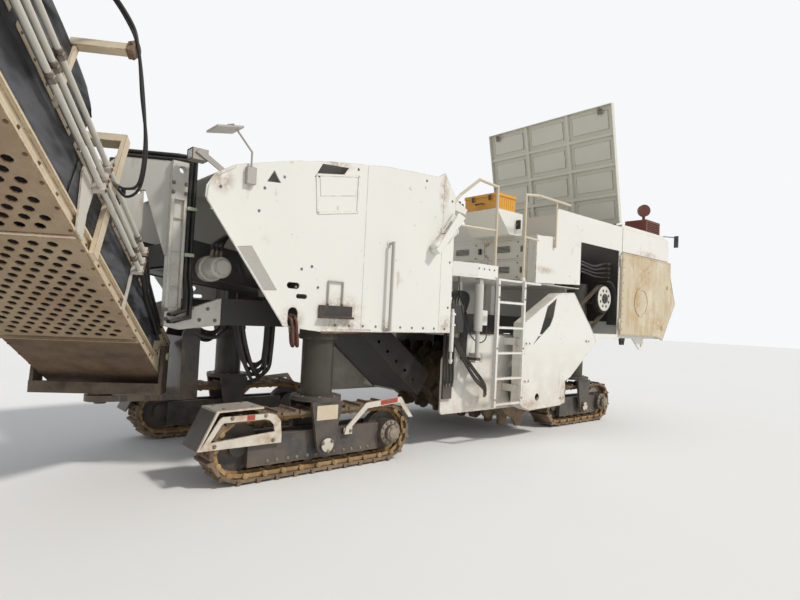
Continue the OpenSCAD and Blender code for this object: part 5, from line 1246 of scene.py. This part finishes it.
class MILLING_OT_bay_details(bpy.types.Operator):
    """Adds the pulley's face, the engine's hoses, fittings and bolts, and the rear doors' trim"""

    bl_idname = "milling.bay_details"
    bl_label = "Engine bay details"

    def execute(self, context):
        self.add_pulley_and_engine()
        for s, name in zip(LEFT_AND_RIGHT, ("left", "right")):
            self.trim_door(s, name)
        return {"FINISHED"}

    def add_pulley_and_engine(self):
        face, dark, rubber, metal = meshes(4)

        def on_pulley(x, y, z):
            return at(PULLEY_X + x, y, PULLEY_Z + z)

        # White face of the clutch's pulley with its hub, bolts and grooves, and thin dark discs as painted shade in its
        # holes
        lathe(face, on_pulley(0, 1.126, 0), Y, [(0, 0.185), (0.004, 0.19), (0.008, 0.186), (0.009, 0.166)], 48)
        lathe(dark, on_pulley(0, 1.134, 0), Y, [(0, 0.075), (0.016, 0.07), (0.022, 0.045), (0.03, 0.03)], 28)
        # Thin dark discs on the face stand for its eight holes: painted shade in the holes
        for c, s in circle(8, 0.125, math.pi / 8):
            lathe(dark, on_pulley(c, 1.1352, s), Y, [(0, 0.022), (0.0006, 0.021)], 18)
        bolts = [(on_pulley(c, 1.150, s), Y) for c, s in circle(8, 0.055)]
        for groove in range(4):
            lathe(dark, on_pulley(0, 1.052 + groove * 0.018, 0), Y, [(0, 0.2165), (0.003, 0.218), (0.006, 0.2165)], 48)
        # Pipes down the engine's left side
        for i, (x, z) in enumerate(((-2.44, 2.62), (-2.55, 2.66), (-2.66, 2.63), (-2.78, 2.65))):
            drop = [(0, 0.46, -0.03), (0, 0.56, 0), (0.03, 0.66, -0.14), (0.02, 0.66, -0.34), (-0.02, 0.59, -0.46),
                    (-0.03, 0.53, -0.50)]
            hose(rubber, metal, [at(x + dx, y, z + dz) for dx, y, dz in drop], 0.014 + 0.003 * (i % 2))
        # Hoses over the engine towards its front
        bundle(rubber, metal, 4, 0.020,
               [(-2.35, -0.3, 2.62, 0, 0.2), (-2.26, -0.3, 2.70, 0, 0.2), (-2.1, -0.25, 2.60, 0, 0.2),
                (-1.95, -0.2, 2.5, 0, 0.2), (-1.80, -0.2, 2.52, 0, 0.2), (-1.70, -0.2, 2.50, 0, 0.2)])
        # Hoses and wires round the bay's open side, each thinner than the last
        bundle(rubber, metal, 4, 0.020,
               [(-2.28, 0.30, 2.40, 0.02, 0.1, 0.06), (-2.12, 0.56, 2.46, 0, 0, 0.06), (-2.05, 0.86, 2.50, 0, 0, -0.07),
                (-2.16, 1.04, 2.42, 0, 0, -0.05, 0, 0.02), (-2.45, 1.08, 2.38, 0, 0, -0.05),
                (-2.76, 1.06, 2.44, 0, 0, -0.07), (-2.97, 1.05, 2.46, 0, 0, -0.07)], growth=-0.002)
        # Covers along the engine's side, and its two round filters' caps
        for i in range(5):
            x = -2.90 + 0.11 * i
            level_block(dark, (x, ENGINE_SIDE + 0.002, 2.04), (x + 0.07, 0.56, 2.30), 0.01)
            lathe(dark, at(x + 0.035, 0.56, 2.17), Y, [(0, 0.022), (0.03, 0.022), (0.034, 0.014)], 14)
        for x, z in ((-2.50, 1.80), (-2.44, 2.16)):
            lathe(dark, at(x, ENGINE_SIDE + 0.005, z), Y,
                  [(0, 0.09), (0.05, 0.092), (0.06, 0.085), (0.065, 0.03), (0.08, 0.028)], 26)
        bolts += [(at(-2.95 + 0.09 * i, ENGINE_SIDE + 0.001, z), Y) for i in range(7) for z in (1.66, 2.44)]
        new_piece("pulley_face", "chassis", "pulley white", face)
        new_piece("engine_fittings", "chassis", "engine iron", dark)
        new_piece("engine_hoses", "chassis", "hose rubber", rubber, smooth=True)
        new_piece("engine_hose_nuts", "chassis", "bolt steel", metal)
        bolt_set("engine_bolts", "chassis", "bolt steel", bolts, 0.02)

    def trim_door(self, s, name):
        """Rim, latches and hinge studs of a rear door."""
        body, y = "rear_door_" + name, s * DOOR_FACE
        trim = bmesh.new()
        edge_rods(trim, DOOR_EDGE, s * (DOOR_FACE - 0.001), 0.006, 8)
        for x, z in ((-4.56, 2.2), (-4.40, 1.50)):
            lathe(trim, at(x, y, z), Y * s, [(0, 0.036), (0.006, 0.036), (0.009, 0.022), (0.011, 0.010)], 20)
            side_slab(trim, oblong(x, z, 0.008, 0.03), s * (DOOR_FACE + 0.008), s * 0.012, 0.002)
        new_piece("door_trim_" + name, body, "door cream", trim)
        bolt_set("door_studs_" + name, body, "rusty bolt",
                 [(at(-3.03, y, 1.45 + 0.12 * i), Y * s) for i in range(10)], 0.012)


class MILLING_OT_platform_details(bpy.types.Operator):
    """Adds levers, knobs, gauges, treads and cabinet fittings to the platform, and dresses the tool case"""

    bl_idname = "milling.platform_details"
    bl_label = "Platform details"

    def execute(self, context):
        black, metal, trim = meshes(3)
        bolts = []
        for s in LEFT_AND_RIGHT:
            self.add_side(s, black, metal, trim, bolts)
        self.add_cabinets(black, metal, bolts)
        # Thin cable that hangs from the platform's front corner
        cable = [(0.66, 1.235, 1.985), (0.64, 1.238, 1.80), (0.56, 1.238, 1.50), (0.44, 1.236, 1.32),
                 (0.28, 1.225, 1.22), (0.12, 1.20, 1.26), (0.06, 1.16, 1.40)]
        sweep(black, rounded_path([at(*p) for p in cable], 8), 0.007, 10)
        # Gauges and buttons on the main desk's top
        for i in range(5):
            x = -0.45 - 0.08 * i
            lathe(metal, at(x, 0.40, 2.9405), Z, [(0, 0.028), (0.008, 0.03), (0.012, 0.026), (0.0125, 0.01)], 22)
            lathe(black, at(x, 0.52, 2.9405), Z, [(0, 0.012), (0.012, 0.012), (0.018, 0.009)], 14)
        new_piece("lever_knobs", "chassis", "hose rubber", black, smooth=True)
        new_piece("lever_rods", "chassis", "bolt steel", metal)
        new_piece("platform_trim", "chassis", "body white", trim)
        bolt_set("platform_bolts", "chassis", "bolt steel", bolts, 0.016)
        self.dress_case()
        return {"FINISHED"}

    def add_side(self, s, black, metal, trim, bolts):
        """One side's levers, post clamps, ladder treads and bolts."""
        tilt = Vector((-0.25, 0, 1)).normalized()
        knob = [(0, 0.007), (0.006, 0.016), (0.018, 0.018), (0.028, 0.012), (0.031, 0.004)]
        for i in range(6):
            for j in range(2):
                base = at(0.66 - 0.0495 * i, s * (0.87 + 0.12 * j), 2.863 - 0.0212 * i)
                sweep(metal, [base, base + tilt * 0.07], 0.005, 8)
                lathe(black, base + tilt * 0.065, tilt, knob, 14)
        for x in (0.1, -0.45):
            lathe(trim, at(x, s * HANDRAIL, 1.985), Z,
                  [(0, 0.042), (0.008, 0.042), (0.012, 0.03), (0.05, 0.026), (0.052, 0.0175)], 22)
            bolts += [(at(x + dx, s * HANDRAIL, 1.993), Z) for dx in (-0.033, 0.033)]
        for rung in range(5):
            z = 0.515 + 0.3 * rung
            for x in (-0.395 + 0.0425 * k for k in range(11)):
                level_block(trim, (x, s * LADDER - 0.014, z), (x + 0.02, s * LADDER + 0.014, z + 0.005), 0.0015)
        bolts += [(at(x, s * (LADDER + 0.02), z), Y * s) for x in (-0.42, 0.08) for z in (0.56, 1.16, 1.76, 1.90)]
        bolts += [(at(0.14 + 0.09 * i, s * 1.31, 2.07), Y * s) for i in range(4)]

    def add_cabinets(self, black, metal, bolts):
        """Handles, hinges and vents on the cabinet doors of the bay's front wall, and the two switch boxes; the vents'
        slots are thin black strips, painted shade in the slots.
        """
        for y in (-1.10, -0.36, 0.38):
            for z in (2.05, 2.33):
                level_block(black, (-0.7795, y + 0.60, z + 0.085), (-0.772, y + 0.66, z + 0.165))
                grip = [at(x, y + 0.63, z + dz) for x, dz in
                        ((-0.774, 0.095), (-0.755, 0.10), (-0.755, 0.15), (-0.774, 0.155))]
                sweep(metal, rounded_path(grip, 4), 0.006, 8)
                for dz in (0.04, 0.19):
                    lathe(metal, at(-0.776, y + 0.006, z + dz), Z, [(0, 0.008), (0.03, 0.008)], 10)
                bolts += [(at(-0.7795, y + dy, z + dz), X) for dy in (0.04, 0.55) for dz in (0.03, 0.22)]
                # The vent's slots as thin black strips: painted shade in the slots
                for low in (z + 0.09 + 0.018 * k for k in range(5)):
                    level_block(black, (-0.7797, y + 0.16, low), (-0.776, y + 0.42, low + 0.008), 0.001)
        for s in LEFT_AND_RIGHT:
            near, far = sorted((s * 0.80, s * 0.96))
            level_block(black, (-0.789, near, 2.72), (-0.760, far, 2.84), 0.006)
            for k in range(3):
                lathe(metal, at(-0.760, s * (0.84 + 0.04 * k), 2.78), X,
                      [(0, 0.012), (0.008, 0.012), (0.012, 0.007)], 12)

    def dress_case(self):
        """Latches, handle and ribs of the tool case."""
        latches, ribs = meshes(2)
        for y in (0.45, 0.74):
            level_block(latches, (-0.363, y + 0.004, 3.062), (-0.354, y + 0.046, 3.128))
        handle = [(-0.368, 0.54), (-0.335, 0.545), (-0.33, 0.60), (-0.335, 0.655), (-0.368, 0.66)]
        sweep(latches, rounded_path([at(x, y, 3.02) for x, y in handle], 5), 0.009, 10)
        for k in range(7):
            level_block(ribs, (-0.70 + 0.045 * k, 0.889, 2.965), (-0.685 + 0.045 * k, 0.893, 3.10), 0.0018)
            level_block(ribs, (-0.72 + 0.05 * k, 0.34, 3.149), (-0.70 + 0.05 * k, 0.87, 3.154), 0.0018)
        new_piece("case_latches", "chassis", "dark paint", latches)
        new_piece("case_ribs", "chassis", "case yellow", ribs)


# The folded edges inside the hood: how far along it and across it they lie, and their depth
HOOD_ROWS = (0.03, 0.4475, 0.4975, 0.91, 0.96, 1.3725, 1.4225, 1.835)
HOOD_COLUMNS = (-1.185, -0.425, -0.375, 0.375, 0.425, 1.185)
HOOD_FACE = 0.0115


class MILLING_OT_hood_details(bpy.types.Operator):
    """Adds the folded edges, the raised panels and the catches inside the hood"""

    bl_idname = "milling.hood_details"
    bl_label = "Hood details"

    def execute(self, context):
        seams, catches = meshes(2)
        for x in HOOD_ROWS:
            sweep(seams, [in_hood(x, -1.18, HOOD_FACE), in_hood(x, 1.18, HOOD_FACE)], 0.005, 8)
        for y in HOOD_COLUMNS:
            sweep(seams, [in_hood(0.03, y, HOOD_FACE), in_hood(1.835, y, HOOD_FACE)], 0.005, 8)
        for x in (0.10 + 0.4625 * i for i in range(4)):
            for y in (-1.11, -0.31, 0.49):
                block(seams, in_hood(x, y, 0.0125), HOOD_ALONG * 0.28, Y * 0.62, -HOOD_OUT * 0.009, 0.004)
        for y in (-1.0, 1.0):
            lathe(catches, in_hood(1.80, y, -0.036), -HOOD_OUT, [(0, 0.02), (0.02, 0.02), (0.024, 0.012)], 16)
            block(catches, in_hood(1.72, y - 0.04, -0.041), HOOD_ALONG * 0.08, Y * 0.08, HOOD_OUT * 0.006, 0.002)
        new_piece("hood_seams", "hood", "hood inside", seams)
        new_piece("hood_clips", "hood", "bolt steel", catches)
        return {"FINISHED"}


OPERATORS = [MILLING_OT_stage, MILLING_OT_finishes, MILLING_OT_canvas, MILLING_OT_track_links,
             MILLING_OT_running_gear, MILLING_OT_body_hoses, MILLING_OT_side_details, MILLING_OT_conveyor_details,
             MILLING_OT_nose_details, MILLING_OT_bay_details, MILLING_OT_platform_details, MILLING_OT_hood_details]


class MILLING_PT_panel(bpy.types.Panel):
    """Lists the settings and the steps that dress the machine"""

    bl_idname = "MILLING_PT_panel"
    bl_label = "Milling machine"
    bl_space_type = "VIEW_3D"
    bl_region_type = "UI"
    bl_category = "Milling machine"

    def draw(self, context):
        for name in MillingSizes.__annotations__:
            self.layout.prop(context.scene.milling_sizes, name)
        for operator in OPERATORS:
            self.layout.operator(operator.bl_idname)


CLASSES = (MillingSizes, *OPERATORS, MILLING_PT_panel)


def register():
    for kind in CLASSES:
        bpy.utils.register_class(kind)
    bpy.types.Scene.milling_sizes = bpy.props.PointerProperty(type=MillingSizes)


def unregister():
    del bpy.types.Scene.milling_sizes
    for kind in reversed(CLASSES):
        bpy.utils.unregister_class(kind)


def main():
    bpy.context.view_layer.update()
    register()
    for operator in OPERATORS:
        group, name = operator.bl_idname.split(".")
        getattr(getattr(bpy.ops, group), name)()


if __name__ == "__main__":
    main()
